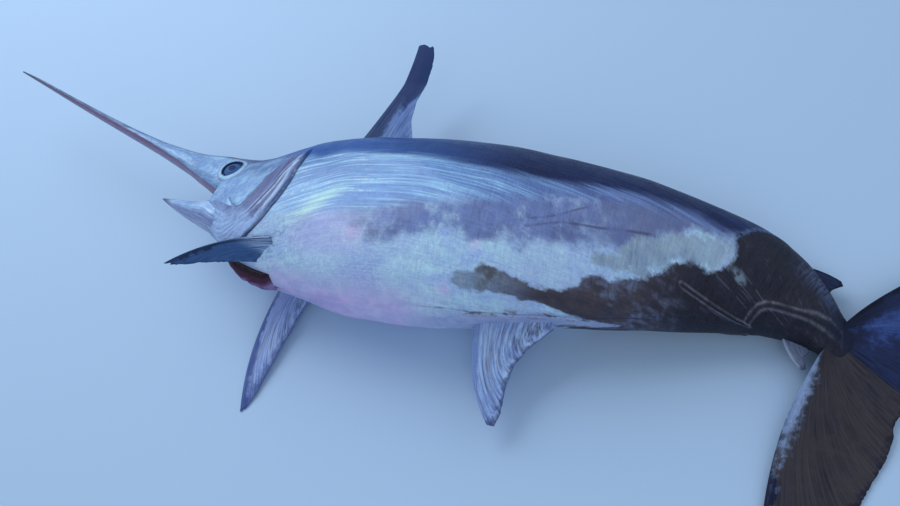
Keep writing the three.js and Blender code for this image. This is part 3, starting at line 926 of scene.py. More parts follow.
def upright(droop: Callable[[Array], Array]) -> ToWorld:
    """A fin's own plane through the back and belly.

    Args:
        droop: how far it sinks, as a share, for each share that it stands out from the fish.

    Returns:
        A function that turns places in that plane and a lift in millimetres into metres.
    """

    def to_world(along: Array, up: Array, lift: Array) -> Array:
        """Places in metres."""
        out = np.maximum(0, np.abs(up) - 0.1)
        return SPINE.place(along, up, trunk_height(along) + droop(out) + lift * MILLIMETRE)

    return to_world


def dorsal_plane(along: Array, up: Array, lift: Array) -> Array:
    """The first dorsal fin's plane, whose upper half is turned up.

    Args:
        along: places along the fish.
        up: places towards the back.
        lift: millimetres off the plane.

    Returns:
        Points in metres.
    """
    root, kink, lower, upper, height = 0.118, 0.13, 0.1, 0.32, 0.084
    out = np.maximum(0, up - root)
    rise = np.where(out < kink, lower * out, lower * kink + upper * (out - kink))
    return SPINE.place(along, up, height + rise + lift * MILLIMETRE)


def tail_plane(along: Array, up: Array, lift: Array) -> Array:
    """The tail fin's plane, which comes down to the floor at its tips.

    Args:
        along: places along the fish.
        up: places towards the back.
        lift: millimetres off the plane.

    Returns:
        Points in metres.
    """
    reach, root_height, tip_height = 1.6, 0.028, 0.0022
    out = np.clip((along - 0.95) / 0.1 + np.abs(up) / 0.3, 0, reach)
    height = root_height * (1 - out / reach) ** 1.3 + tip_height
    return SPINE.place(along, up, height + lift * MILLIMETRE)


def long_fin_plane(
    root: Array, tip: Array, across: Sequence[float], sag: float, width: float
) -> ToWorld:
    """A pectoral fin's plane, along the line from its root to its tip.

    Args:
        root: where the fin leaves the body, in metres.
        tip: its far end, in metres.
        across: the way that its breadth runs.
        sag: millimetres that it bows at half its length.
        width: breadth in millimetres.

    Returns:
        A function that turns shares of length and breadth and a lift into metres.
    """
    chord = Vector(tip - root)
    way = chord.normalized()
    side = Vector(across)
    side = (side - way * side.dot(way)).normalized()
    normal = np.array(way.cross(side).normalized())

    def to_world(along: Array, up: Array, lift: Array) -> Array:
        """Places in metres.

        Args:
            along: shares of the fin's length.
            up: shares of its breadth.
            lift: millimetres off its plane.

        Returns:
            Points in metres.
        """
        bend = sag * np.sin(np.pi * np.clip(along, 0, 1)) + lift
        points = root + (along * chord.length)[..., None] * np.array(way)
        points = points + (up * width / 1000)[..., None] * np.array(side)
        points = points + bend[..., None] / 1000 * normal
        points[..., 2] = np.maximum(points[..., 2], np.where(lift > 0, 0.003, 0.0))
        return points

    return to_world


@dataclass
class Fin:
    """A fan of fine rays on a membrane, from its base to a ragged trailing edge."""

    node: str
    base: tuple[Pair, Pair]
    pull: Pair
    trailing: tuple[Pair, ...]
    plane: ToWorld
    thick: float
    thin: float
    ridge: float = 0.8
    rays: int = 32
    rows: int = 72
    ragged: float = 0.02
    ripple: float = 1.6
    seed: int = 1

    def trailing_at(self, share: Array) -> Array:
        """Places along the trailing edge, by share of its length.

        Args:
            share: shares of the edge's length.

        Returns:
            Two columns, along and towards the back.
        """
        points = np.array(self.trailing)
        length = np.concatenate([[0], np.cumsum(np.hypot(*np.diff(points, axis=0).T))])
        at = share * length[-1]
        return np.stack([np.interp(at, length, points[:, k]) for k in (0, 1)], -1)

    def build(self) -> bpy.types.Object:
        """Makes both faces of the fin and the rim between them.

        Returns:
            The object, with no material yet.
        """
        columns = self.rays * 5 + 1
        s = np.linspace(0, 1, columns)
        t = np.linspace(0, 1, self.rows)
        front, rear, pull = (np.array(p) for p in (*self.base, self.pull))
        start = front + (rear - front) * s[:, None]
        end = self.trailing_at(s)
        bow = pull + ((start + end) / 2 - pull) * (s**0.8)[:, None]
        wobble = Wobble(self.seed)
        fringe = 0.35 * np.abs(wobble(s * self.rays * 2, 7.5))
        notch = np.clip(wobble(s * self.rays * 0.6), 0, 1) ** 1.5 + fringe
        reach = 1 - self.ragged * notch * smooth(0.0, 0.12, s)
        tt = t[:, None] * reach[None]
        a, b, c = ((1 - tt) ** 2)[..., None], (2 * tt * (1 - tt))[..., None], (tt**2)[..., None]
        flat = a * start[None] + b * bow[None] + c * end[None]
        core = (self.thick * (1 - tt) ** 1.5 + self.thin) * (1 - 0.35 * s[None])
        split = smooth(0.45, 0.75, tt)
        turn = 2 * np.pi * self.rays * s[None]
        wave = np.cos(turn) * (1 - split) + np.cos(2 * turn) * split
        raised = self.ridge * (0.5 + 0.5 * wave) * (1 - 0.6 * tt) * smooth(0.0, 0.1, tt)
        bead = smooth(0.0, 0.02, s)[None] * (1 - 0.5 * smooth(0.96, 1.0, tt))
        sway = self.ripple * wobble(s[None] * 7 + 3, tt * 3) * smooth(0.1, 0.5, tt)
        half = (core * (0.35 + 0.65 * bead) + raised) / 2
        faces = [self.plane(flat[..., 0], flat[..., 1], sway + side * half) for side in (1, -1)]
        points = np.concatenate([f.reshape(-1, 3) for f in faces])
        kept = {"across": s[None], "out": tt, "raised": 0.5 + 0.5 * wave}
        fields = {name: np.tile((value + 0 * tt).ravel(), 2) for name, value in kept.items()}
        fin = mesh_object(self.node + "_web", points, plate_faces(self.rows, columns), fields)
        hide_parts(self.node)
        return fin


def tail_lobe(side: int) -> Fin:
    """A lobe of the tail fin, 1 for the upper and -1 for the lower.

    Args:
        side: 1 or -1.

    Returns:
        The fin.
    """
    split = 0.3 * MILLIMETRE
    edge = (
        (1.069, side * 0.2992), (1.0765, side * 0.2973), (1.0755, side * 0.25), (1.074, side * 0.19),
        (1.071, side * 0.13), (1.064, side * 0.07), (1.052, side * 0.03), (1.046, side * split),
    )
    return Fin(
        node="tail_lobe_upper" if side > 0 else "tail_lobe_lower",
        base=((0.9502, side * 0.0262), (0.9502, side * split)), pull=(0.962, side * 0.165), trailing=edge,
        plane=tail_plane, thick=36, thin=3.4, ridge=0.5, rays=40, rows=96, ragged=0.03, ripple=0.8,
        seed=41 if side > 0 else 42,
    )


def fins() -> list[Fin]:
    """Every fin of the fish, with the outlines that the solids have.

    Returns:
        The fins, each ready to be built.
    """
    left = long_fin_plane(
        SPINE.place(0.252, -0.083, 0.132), SPINE.place(0.112, -0.147, 0.108), (0.3, -0.62, -0.7), 12, 66
    )
    right = long_fin_plane(
        SPINE.place(0.238, -0.078, 0.022), SPINE.place(0.222, -0.272, 0.0012), (1.0, 0.1, 0.0), 0, 84
    )
    narrow = ((1, 0.0), (0.99, 0.06), (0.86, 0.1), (0.66, 0.12), (0.44, 0.17), (0.22, 0.28), (0.06, 0.46))
    blade = ((1, 0.12), (0.99, 0.22), (0.86, 0.33), (0.66, 0.36), (0.44, 0.4), (0.22, 0.48), (0.06, 0.52))
    return [
        Fin("dorsal_fin", ((0.272, 0.108), (0.364, 0.116)), (0.329, 0.221),
            ((0.3405, 0.3085), (0.35, 0.312), (0.365, 0.311), (0.37, 0.285), (0.365, 0.25),
             (0.357, 0.215), (0.357, 0.18), (0.366, 0.152), (0.376, 0.136)),
            dorsal_plane, 17, 2.4, seed=51, ragged=0.035),
        Fin("anal_fin", ((0.528, -0.1), (0.622, -0.098)), (0.522, -0.19),
            ((0.561, -0.238), (0.57, -0.238), (0.576, -0.222), (0.577, -0.195), (0.583, -0.168),
             (0.6, -0.142), (0.625, -0.118)), upright(lambda out: -0.33 * out), 14, 2.2, seed=52),
        Fin("second_dorsal_fin", ((0.868, 0.062), (0.9, 0.048)), (0.885, 0.08),
            ((0.918, 0.079), (0.923, 0.075), (0.917, 0.064), (0.916, 0.056)),
            upright(lambda out: -0.008), 7, 1.6, 0.4, 10, 24, seed=53, ripple=0.4),
        Fin("second_anal_fin", ((0.9, -0.021), (0.926, -0.015)), (0.914, -0.042),
            ((0.944, -0.048), (0.948, -0.044), (0.938, -0.034), (0.938, -0.024)),
            upright(lambda out: -0.004), 7, 1.6, 0.4, 10, 24, seed=54, ripple=0.4),
        Fin("pectoral_fin_left", ((0.01, -0.56), (-0.05, 0.5)), (0.45, -0.86), narrow, left, 20, 2.2,
            0.6, 24, 72, seed=55, ragged=0.05),
        Fin("pectoral_fin_right", ((-0.03, -0.5), (-0.03, 0.42)), (0.5, -0.86), blade, right, 13, 2.2,
            0.9, 20, 72, seed=56, ragged=0.03),
        tail_lobe(1),
        tail_lobe(-1),
    ]


class Value:
    """A number or colour in a node tree, with the sums, steps and coats that the finishes use."""

    def __init__(self, board: "Board", socket: Socket) -> None:
        """Keeps the socket and the board that it is on."""
        self.board, self.socket = board, socket

    def __add__(self, other: object) -> "Value":
        """Sum."""
        return self.board.math("ADD", self, other)

    def __sub__(self, other: object) -> "Value":
        """Difference."""
        return self.board.math("SUBTRACT", self, other)

    def __rsub__(self, other: float) -> "Value":
        """A number less this value."""
        return self.board.math("SUBTRACT", other, self)

    def __mul__(self, other: object) -> "Value":
        """Product."""
        return self.board.math("MULTIPLY", self, other)

    def __truediv__(self, other: object) -> "Value":
        """Quotient."""
        return self.board.math("DIVIDE", self, other)

    def __abs__(self) -> "Value":
        """The value without its sign."""
        return self.board.math("ABSOLUTE", self)

    def step(self, low: float, high: float) -> "Value":
        """A soft step.

        Args:
            low: where it is 0, above high for a step that falls.
            high: where it is 1.

        Returns:
            The step's value.
        """
        made = self.board.node("ShaderNodeMapRange", interpolation_type="SMOOTHSTEP")
        self.board.feed(made.inputs[0], self)
        ends = (high, low, 1.0, 0.0) if low > high else (low, high, 0.0, 1.0)
        for socket, number in zip(made.inputs[1:5], ends):
            socket.default_value = number
        return Value(self.board, made.outputs[0])

    def bell(self, middle: float, width: float) -> "Value":
        """1 at middle, falling to 0 at width to either side."""
        return abs(self - middle).step(width, 0.0)

    def blend(self, below: object, above: object) -> "Value":
        """Two colours mixed by this mask.

        Args:
            below: the colour where the mask is 0.
            above: the colour where it is 1.

        Returns:
            The mixed colour.
        """
        made = self.board.node("ShaderNodeMix", data_type="RGBA")
        for index, value in ((0, self), (6, below), (7, above)):
            self.board.feed(made.inputs[index], value)
        return Value(self.board, made.outputs[2])

    def coated(self, coat: object, mask: "Value", *more: object) -> "Value":
        """This colour with another laid over it.

        Args:
            coat: the colour on top.
            mask: where it shows.
            more: masks and weights that the mask is multiplied by.

        Returns:
            The colour with its coat.
        """
        for factor in more:
            mask = mask * factor
        return mask.blend(self, coat)


class Board:
    """A node tree with short ways to add the nodes that the finishes use."""

    def __init__(self, tree: bpy.types.NodeTree) -> None:
        """Keeps the tree."""
        self.tree = tree

    def node(self, kind: str, **settings: object) -> bpy.types.Node:
        """Adds a node.

        Args:
            kind: its type in Blender.
            settings: values of its own properties.

        Returns:
            The node.
        """
        made = self.tree.nodes.new(kind)
        for key, value in settings.items():
            setattr(made, key, value)
        return made

    def feed(self, socket: Socket, value: object) -> None:
        """Gives an input what it takes.

        Args:
            socket: the input.
            value: a value or socket to link, or a plain number or colour.
        """
        source = value.socket if isinstance(value, Value) else value
        if isinstance(source, Socket):
            self.tree.links.new(source, socket)
        else:
            socket.default_value = source

    def math(self, operation: str, *values: object) -> Value:
        """Adds a math node.

        Args:
            operation: what it does.
            values: what it takes, in the order of its inputs.

        Returns:
            Its result.
        """
        made = self.node("ShaderNodeMath", operation=operation)
        for socket, value in zip(made.inputs, values):
            self.feed(socket, value)
        return Value(self, made.outputs[0])

    def attribute(self, name: str) -> Value:
        """A number kept on the mesh."""
        return Value(self, self.node("ShaderNodeAttribute", attribute_name=name).outputs["Fac"])

    def object_place(self) -> Value:
        """Where a point lies on its own object, in metres."""
        return Value(self, self.node("ShaderNodeTexCoord").outputs["Object"])

    def vector(self, *parts: object) -> Value:
        """Three values as a vector.

        Args:
            parts: its x, y and z.

        Returns:
            The vector.
        """
        made = self.node("ShaderNodeCombineXYZ")
        for socket, value in zip(made.inputs, parts):
            self.feed(socket, value)
        return Value(self, made.outputs[0])

    def noise(self, place: object, scale: object, detail: float = 4.0, rough: float = 0.55) -> Value:
        """Noise from 0 to 1.

        Args:
            place: the vector that it is read at.
            scale: how many hills it has in one unit.
            detail: how many finer layers are added.
            rough: weight of each finer layer.

        Returns:
            The noise.
        """
        made = self.node("ShaderNodeTexNoise")
        given = {"Vector": place, "Scale": scale, "Detail": detail, "Roughness": rough}
        for title, value in given.items():
            self.feed(made.inputs[title], value)
        return Value(self, made.outputs[0])

    def group(self, tree: bpy.types.NodeTree, **values: object) -> Value:
        """A shared group placed with its own values.

        Args:
            tree: the group.
            values: what its inputs take, by name.

        Returns:
            Its first output.
        """
        made = self.node("ShaderNodeGroup", node_tree=tree)
        for key, value in values.items():
            self.feed(made.inputs[key], value)
        return Value(self, made.outputs[0])

    def finished(self, mask: Value) -> bpy.types.NodeTree:
        """Gives a shared group its output, and returns its tree."""
        self.feed(self.node("NodeGroupOutput").inputs[0], mask)
        return self.tree


def new_group(name: str, **inputs: float | None) -> tuple[Board, list[Value]]:
    """An empty shared group whose one output is the number Mask.

    Args:
        name: what the group is called.
        inputs: the plain number of each input, or None for a vector.

    Returns:
        The group's board, and the values of its inputs in their order.
    """
    tree = bpy.data.node_groups.new(name, "ShaderNodeTree")
    for title, number in inputs.items():
        kind = "NodeSocketVector" if number is None else "NodeSocketFloat"
        socket = tree.interface.new_socket(title, in_out="INPUT", socket_type=kind)
        if number is not None:
            socket.default_value = number
    tree.interface.new_socket("Mask", in_out="OUTPUT", socket_type="NodeSocketFloat")
    board = Board(tree)
    given = board.node("NodeGroupInput")
    return board, [Value(board, given.outputs[title]) for title in inputs]


def long_streaks_group() -> bpy.types.NodeTree:
    """Fine streaks that run along the fish: Stretch sets their length and Density their number.

    Returns:
        The group.
    """
    board, (place, stretch, density) = new_group("long_streaks", Place=None, Stretch=5.0, Density=160.0)
    scaled = board.node("ShaderNodeVectorMath", operation="MULTIPLY")
    board.feed(scaled.inputs[0], place)
    board.feed(scaled.inputs[1], board.vector(stretch, density, 3.0))
    return board.finished(board.noise(scaled.outputs[0], 1.0, 3.0, 0.65).step(0.38, 0.62))


def torn_edge_group() -> bpy.types.NodeTree:
    """A mask that is 1 inside a marking, with a torn edge: Rag and Softness are in millimetres.

    Returns:
        The group.
    """
    board, (distance, place, rag, softness, grain) = new_group(
        "torn_edge", Distance=0.0, Place=None, Rag=6.0, Softness=3.0, Grain=22.0
    )
    tear = board.noise(place, grain, 7.0, 0.64)
    edge = (distance + (tear - 0.5) * (rag * 2.0)) / softness
    return board.finished(edge.step(-0.5, 0.5))


def mottle_group() -> bpy.types.NodeTree:
    """Cloudy mottling with soft patches."""
    board, (place, scale) = new_group("mottle", Place=None, Scale=8.0)
    return board.finished(board.noise(place, scale, 5.0, 0.66).step(0.38, 0.62))


def fin_ray_group() -> bpy.types.NodeTree:
    """Dark and pale lines that follow a fin's rays from its root outwards.

    Returns:
        The group.
    """
    board, (across, out, rays) = new_group("fin_rays", Across=0.0, Out=0.0, Rays=60.0)
    place = board.vector(across * rays, out * 3.0, 0.5)
    return board.finished(board.noise(place, 1.0, 4.0, 0.65).step(0.34, 0.66))


@dataclass(frozen=True)
class Wetness:
    """How wet a surface is: the water film on it, its gloss and the depth of its fine relief."""

    film: float = 0.45
    film_roughness: float = 0.14
    gloss: float = 0.3
    relief: float = 0.9
    relief_depth: float = 0.0016


class SkinPaint:
    """The layers of colour on the skin, each laid over the one before."""

    def __init__(self, board: Board, shared: "Finishes") -> None:
        """Reads the mesh's numbers and makes the patterns that several layers use.

        Args:
            board: the board of the skin's material.
            shared: the groups that the finishes share.
        """
        self.b, self.shared = board, shared
        b = board
        self.along, self.round, self.left = (b.attribute(n) for n in ("along", "round", "left"))
        self.cover, self.girth = b.attribute("cover"), b.attribute("girth")
        self.metres = self.along * UNIT
        side = self.left * 0.12
        self.place = b.vector(self.metres, self.girth, side)
        self.drawn_out = b.vector(self.metres * 0.3, self.girth * 3.0, side)
        self.crosswise = b.vector(self.girth, self.metres, side)
        self.streak = b.group(shared.streaks, Place=self.place, Stretch=4.0, Density=190.0)
        self.hair = b.group(shared.streaks, Place=self.place, Stretch=11.0, Density=330.0)
        self.fibre = b.group(shared.streaks, Place=self.crosswise, Stretch=30.0, Density=230.0)
        self.cross = b.group(shared.streaks, Place=self.crosswise, Stretch=12.0, Density=110.0)
        self.cloud = self.mottle(9.0)
        self.patch = self.mottle(26.0)
        self.speck = self.mottle(85.0)
        self.grain = self.mottle(190.0)
        self.wash = self.mottle(3.1)
        self.brown_mask = self.torn("brown_patch", 26.0, 11.0, 26.0)
        flank = self.torn("silver_flank", 26.0, 30.0, 26.0, -1.0, self.drawn_out)
        self.silver_mask = flank * self.rise(0.16, 0.22)
        self.back_mask = self.torn("dark_back", 20.0, 30.0, 24.0, -1.0, self.drawn_out)

    def mottle(self, scale: float) -> Value:
        """Cloudy mottling of one size."""
        return self.b.group(self.shared.mottle, Place=self.place, Scale=scale)

    def rise(self, low: float, high: float) -> Value:
        """A soft step along the fish."""
        return self.along.step(low, high)

    def torn(
        self, name: str, rag: float, softness: float, grain: float = 22.0, sign: float = 1.0,
        place: Value | None = None,
    ) -> Value:
        """A torn mask of one marking.

        Args:
            name: the marking.
            rag: millimetres that the edge is torn by.
            softness: millimetres over which it fades.
            grain: how fine the tears are.
            sign: -1 for the side away from the marking.
            place: the vector that the tears are read at, where it isn't the plain one.

        Returns:
            The mask.
        """
        return self.b.group(
            self.shared.torn, Distance=self.b.attribute(name) * sign, Place=place or self.place,
            Rag=rag, Softness=softness, Grain=grain,
        )

    def line(self, name: str, middle: float, width: float) -> Value:
        """A broken line at a distance from a marking."""
        return self.b.attribute(name).bell(middle, width) * self.patch.step(-0.5, 0.9)

    def flank(self) -> Value:
        """Sky-blue lower flank with violet clouds, fine cross lines and a rose belly.

        Returns:
            The colour of the whole skin before the other layers.
        """
        b = self.b
        colour = self.cloud.blend(tone(191, 239, 255), tone(147, 178, 241))
        colour = colour.coated(tone(213, 255, 255), self.patch, 0.4)
        colour = colour.coated(tone(160, 164, 224), self.wash, 0.45)
        colour = colour.coated(tone(133, 165, 221), self.speck, 0.42)
        colour = colour.coated(tone(220, 238, 255), self.grain, 0.3)
        colour = colour.coated(tone(130, 155, 217), self.fibre, self.patch.step(-0.2, 0.8), 0.3)
        colour = colour.coated(tone(222, 255, 255), self.hair, 0.18)
        belly = self.round.step(0.76, 0.93) * self.rise(0.2, 0.27) * self.rise(0.52, 0.42)
        rose = self.patch.blend(tone(220, 196, 244), tone(190, 178, 234))
        colour = colour.coated(rose, belly, self.cloud * 0.3 + 0.7)
        bloom = (
            self.round.step(0.5, 0.6) * self.round.step(0.8, 0.68) * self.rise(0.25, 0.29)
            * self.rise(0.4, 0.33)
        )
        colour = colour.coated(tone(196, 186, 243), bloom, 0.4)
        under = self.round.step(0.9, 0.99) * self.rise(0.42, 0.5)
        colour = colour.coated(self.patch.blend(tone(135, 142, 194), tone(168, 171, 220)), under, 0.7)
        ring = b.attribute("spots").bell(0.35, 0.22) * 0.14
        colour = colour.coated(tone(226, 200, 243), b.attribute("spots"), self.speck * 0.3 + 0.4)
        return colour.coated(tone(213, 253, 255), ring)

    def band(self, colour: Value) -> Value:
        """Lilac-grey band under the silver, broken by pale clouds.

        Args:
            colour: the colour beneath.

        Returns:
            The colour with this layer over it.
        """
        lilac = self.patch.blend(tone(108, 125, 186), tone(86, 95, 151))
        lilac = lilac.coated(tone(131, 157, 216), self.fibre, 0.35)
        lilac = lilac.coated(tone(71, 82, 136), self.hair, 0.25)
        lilac = lilac.coated(
            self.patch.blend(tone(73, 78, 120), tone(94, 98, 141)), self.rise(0.55, 0.78), 0.6
        )
        torn = self.torn("lilac_band", 60.0, 34.0, 14.0, -1.0)
        clouds = 1.0 - self.patch * self.cloud.step(0.2, 0.9) * self.rise(0.74, 0.6) * 0.75
        return colour.coated(lilac, torn, clouds, self.rise(0.27, 0.44), 0.92)

    def silver(self, colour: Value) -> Value:
        """Streaked silver upper flank, darker and bluer towards the tail, with painted highlight streaks at
        the front and a painted glint.

        Args:
            colour: the colour beneath.

        Returns:
            The colour with this layer over it.
        """
        b = self.b
        bright = self.streak.blend(tone(113, 164, 230), tone(180, 234, 255))
        bright = bright.coated(tone(93, 136, 208), self.hair, 0.5)
        bright = bright.coated(tone(142, 184, 244), self.patch, 0.35)
        bright = bright.coated(tone(118, 150, 216), self.speck, 0.3)
        dark = self.round.step(0.56, 0.4) * self.rise(0.4, 0.28) * self.streak.step(0.95, 0.25)
        bright = bright.coated(tone(70, 112, 182), dark, 0.85)
        # Painted highlight: white streaks on the front of the silver flank.
        white = self.streak.step(0.55, 1.0) * self.speck.step(0.25, 0.8) * self.rise(0.5, 0.36)
        bright = bright.coated(tone(214, 238, 252), white, 0.6)
        rear = self.streak.blend(tone(63, 82, 144), tone(129, 155, 215))
        rear = rear.coated(tone(51, 64, 118), self.hair, 0.4)
        bright = bright.coated(rear, self.rise(0.4, 0.72), 0.9)
        colour = colour.coated(bright, self.silver_mask, self.streak * 0.3 + 0.7)
        # Painted highlight: a pale yellowish glint on the shoulder.
        glint = b.attribute("glint") * (self.streak * 0.6 + 0.4)
        return colour.coated(tone(216, 255, 241), glint)

    def scars(self, colour: Value) -> Value:
        """Dark scratches on the flank."""
        colour = colour.coated(tone(56, 54, 96), self.line("scratch", 0.0, 3.0), 0.85)
        return colour.coated(tone(60, 56, 92), self.line("long_scratch", 0.0, 4.0), 0.8)

    def brown(self, colour: Value) -> Value:
        """Scuffed brown patch that runs over the root of the tail, with a pale torn rim; over the tail
        stalk its near-black is partly the stalk's own dark colour and partly painted shade, and a painted
        sheen lies along the stalk's back.

        Args:
            colour: the colour beneath.

        Returns:
            The colour with this layer over it.
        """
        b = self.b
        rim = (
            b.attribute("brown_patch").bell(-3.0, 16.0) * self.speck.step(0.3, 0.8)
            * self.patch.step(0.2, 0.7) * self.rise(0.84, 0.8)
        )
        colour = colour.coated(tone(153, 183, 226), rim, 0.6)
        scuffs_shade_and_sheen = self.patch.blend(tone(61, 54, 66), tone(84, 73, 76))
        scuffs_shade_and_sheen = scuffs_shade_and_sheen.coated(tone(44, 41, 60), self.speck, 0.4)
        # The tail stalk's near-black: partly its own dark colour and partly painted shade.
        stalk = self.patch.blend(tone(15, 15, 32), tone(27, 25, 42))
        stalk = stalk.coated(tone(39, 38, 54), self.speck, 0.35)
        stalk = stalk.coated(tone(50, 52, 75), self.cross, 0.2)
        marks = self.streak.step(0.8, 1.0) * self.patch.step(0.7, 1.0) * 0.4
        stalk = stalk.coated(tone(98, 102, 122), marks)
        scuffs_shade_and_sheen = scuffs_shade_and_sheen.coated(stalk, self.rise(0.7, 0.8))
        bars = (
            self.patch * (self.cross * 0.6 + 0.4) * self.rise(0.6, 0.65) * self.rise(0.8, 0.72)
            * self.cloud.step(0.1, 0.7) * 0.7
        )
        scuffs_shade_and_sheen = scuffs_shade_and_sheen.coated(tone(117, 135, 172), bars)
        scuffs_shade_and_sheen = scuffs_shade_and_sheen.coated(tone(75, 73, 92), self.hair, self.rise(0.8, 0.68), 0.3)
        # Painted sheen: a paler streaked band along the back of the tail stalk.
        sheen = self.round.bell(0.22, 0.16) * self.rise(0.86, 0.9) * self.rise(0.97, 0.93)
        scuffs_shade_and_sheen = scuffs_shade_and_sheen.coated(tone(96, 113, 158), sheen, self.fibre, 0.6)
        tip = self.rise(0.915, 0.95) * self.round.step(0.62, 0.4)
        scuffs_shade_and_sheen = scuffs_shade_and_sheen.coated(tone(17, 25, 56), tip)
        thin = 1.0 - self.cloud.step(-0.3, 1.0) * self.rise(0.62, 0.53) * 0.5
        return colour.coated(scuffs_shade_and_sheen, self.brown_mask, thin)

    def pale(self, colour: Value) -> Value:
        """Pale washed patch over the brown one, and the smear of an old scar.

        Args:
            colour: the colour beneath.

        Returns:
            The colour with this layer over it.
        """
        b = self.b
        washed = self.patch.blend(tone(150, 175, 196), tone(122, 146, 177))
        washed = washed.coated(tone(186, 207, 219), self.cross, self.cloud.step(0.0, 1.0), 0.45)
        washed = washed.coated(tone(160, 178, 190), self.speck, 0.4)
        washed = washed.coated(tone(98, 117, 154), self.fibre, 0.2)
        mask = self.torn("pale_patch", 40.0, 18.0, 30.0)
        colour = colour.coated(washed, mask, self.cloud * 0.25 + 0.72)
        return colour.coated(tone(128, 146, 164), b.attribute("scar"), self.speck.step(-0.3, 0.8), 0.75)

    def folds(self, colour: Value) -> Value:
        """Pale rims along the folds of the tail root, and the lines beside the anal fin.

        Args:
            colour: the colour beneath.

        Returns:
            The colour with this layer over it.
        """
        b = self.b
        for name in ("tail_crease", "keel_crest"):
            worn = self.speck * 0.3 + 0.6
            colour = colour.coated(
                tone(120, 120, 134), self.line(name, 6.0, 4.5), worn, self.rise(0.97, 0.93), 0.8
            )
            colour = colour.coated(
                tone(30, 28, 40), self.line(name, 0.0, 2.6), self.rise(0.97, 0.93), 0.5
            )
        colour = colour.coated(
            tone(112, 150, 200), self.line("crest_line", 0.0, 7.0), self.speck.step(0.0, 0.8), 0.8
        )
        crease = self.line("anal_crease", 0.0, 5.0) * self.rise(0.45, 0.5)
        colour = colour.coated(tone(48, 46, 76), crease, 0.8)
        scuff = (
            b.attribute("anal_crease").bell(12.0, 16.0) * self.speck.step(0.35, 0.9)
            * self.rise(0.47, 0.5) * self.rise(0.62, 0.56)
        )
        stain = (
            b.attribute("anal_crease").bell(4.0, 22.0) * self.patch.step(0.45, 1.0)
            * self.rise(0.47, 0.52) * self.rise(0.7, 0.64)
        )
        colour = colour.coated(tone(78, 70, 82), stain, 0.8)
        return colour.coated(tone(186, 190, 220), scuff, 0.8)

    def head(self, colour: Value) -> Value:
        """Pale cheek, violet gill cover with bands along its edge, and the folded throat, with painted
        shade in the creases, grooves and slot round the cover and between the throat's folds.

        Args:
            colour: the colour beneath.

        Returns:
            The colour with this layer over it.
        """
        b = self.b
        bands = b.noise(b.vector(self.cover * 0.07, self.girth * 7.0, self.left), 1.0, 4.0, 0.6)
        fine = b.noise(b.vector(b.attribute("cheek") * 0.16, self.girth * 22.0, self.left), 1.0, 4.0, 0.6)
        cheek = self.speck.blend(tone(150, 195, 247), tone(188, 227, 255))
        cheek = cheek.coated(tone(106, 138, 202), self.patch, 0.55)
        cheek = cheek.coated(tone(84, 112, 178), self.grain, self.cloud.step(0.0, 1.0), 0.4)
        cheek = cheek.coated(tone(88, 115, 181), fine.step(0.56, 0.68), 0.55)
        shade = self.round.step(0.52, 0.36) * self.rise(0.09, 0.15) * (self.patch * 0.35 + 0.5)
        cheek = cheek.coated(tone(74, 104, 158), shade)
        plate = bands.step(0.36, 0.62).blend(tone(82, 90, 139), tone(126, 138, 192))
        plate = plate.coated(tone(186, 216, 251), bands.step(0.6, 0.7), 0.8)
        plate = plate.coated(tone(70, 79, 128), self.speck, 0.25)
        ridge = b.attribute("cover_ridge")
        plate = plate.coated(tone(196, 218, 244), ridge.bell(6.5, 5.0), self.patch.step(-0.2, 0.7), 0.8)
        # Painted shade in the groove beside the cover's ridge.
        plate = plate.coated(tone(44, 52, 96), ridge.bell(0.0, 3.0), 0.8)
        edge = self.cover.bell(13.0, 10.0) * self.patch.step(0.1, 0.8)
        plate = plate.coated(tone(184, 218, 253), edge, 0.8)
        # Paler on the throat folds' crests and darker in the hollows between them: painted highlight and
        # painted shade.
        throat = b.attribute("raised").step(-0.9, 1.2).blend(tone(76, 96, 156), tone(172, 202, 246))
        throat = throat.coated(tone(120, 132, 190), self.speck, 0.3)
        plate = plate.coated(throat, (self.round + self.patch * 0.05).step(0.6, 0.72))
        front = plate.coated(cheek, b.attribute("cheek").step(-1.0, 2.0))
        colour = colour.coated(front, self.cover.step(-1.5, 1.5))
        # Painted shade in the cheek crease.
        colour = colour.coated(tone(30, 45, 90), b.attribute("cheek_crease").bell(0.0, 3.2), 0.6)
        # Painted shade in the slot under the gill cover's raised edge.
        cover_slot_shade = self.cover.bell(-4.5, 6.5) * self.round.step(0.28, 0.36) * self.round.step(0.9, 0.84)
        colour = colour.coated(tone(26, 41, 88), cover_slot_shade, 0.92)
        chest = (
            b.attribute("chest").step(62.0, 24.0) * self.cover.step(0.0, -6.0) * self.speck.step(0.0, 0.9)
        )
        swirl = b.noise(
            b.vector(b.attribute("chest") * 0.13, self.girth * 12.0, self.left), 1.0, 4.0, 0.6
        )
        colour = colour.coated(tone(84, 102, 160), chest, swirl.step(0.5, 0.66), 0.7)
        colour = colour.coated(tone(190, 220, 255), chest, swirl.step(0.48, 0.36), 0.6)
        near = b.attribute("chest").step(150.0, 20.0) * self.cover.step(2.0, -6.0)
        colour = colour.coated(tone(96, 118, 180), near, self.speck, self.patch.step(-0.2, 0.8), 0.4)
        colour = colour.coated(
            tone(212, 234, 255), near, self.streak.step(0.5, 1.0), self.speck.step(0.0, 0.8), 0.4
        )
        lids = b.attribute("socket").bell(36.0, 7.0) * self.patch.step(-0.4, 0.5)
        colour = colour.coated(tone(196, 235, 255), lids, 0.75)
        colour = colour.coated(tone(70, 102, 166), b.attribute("socket").bell(43.0, 2.6), 0.6)
        return colour.coated(tone(22, 37, 77), b.attribute("socket").bell(29.0, 3.0))

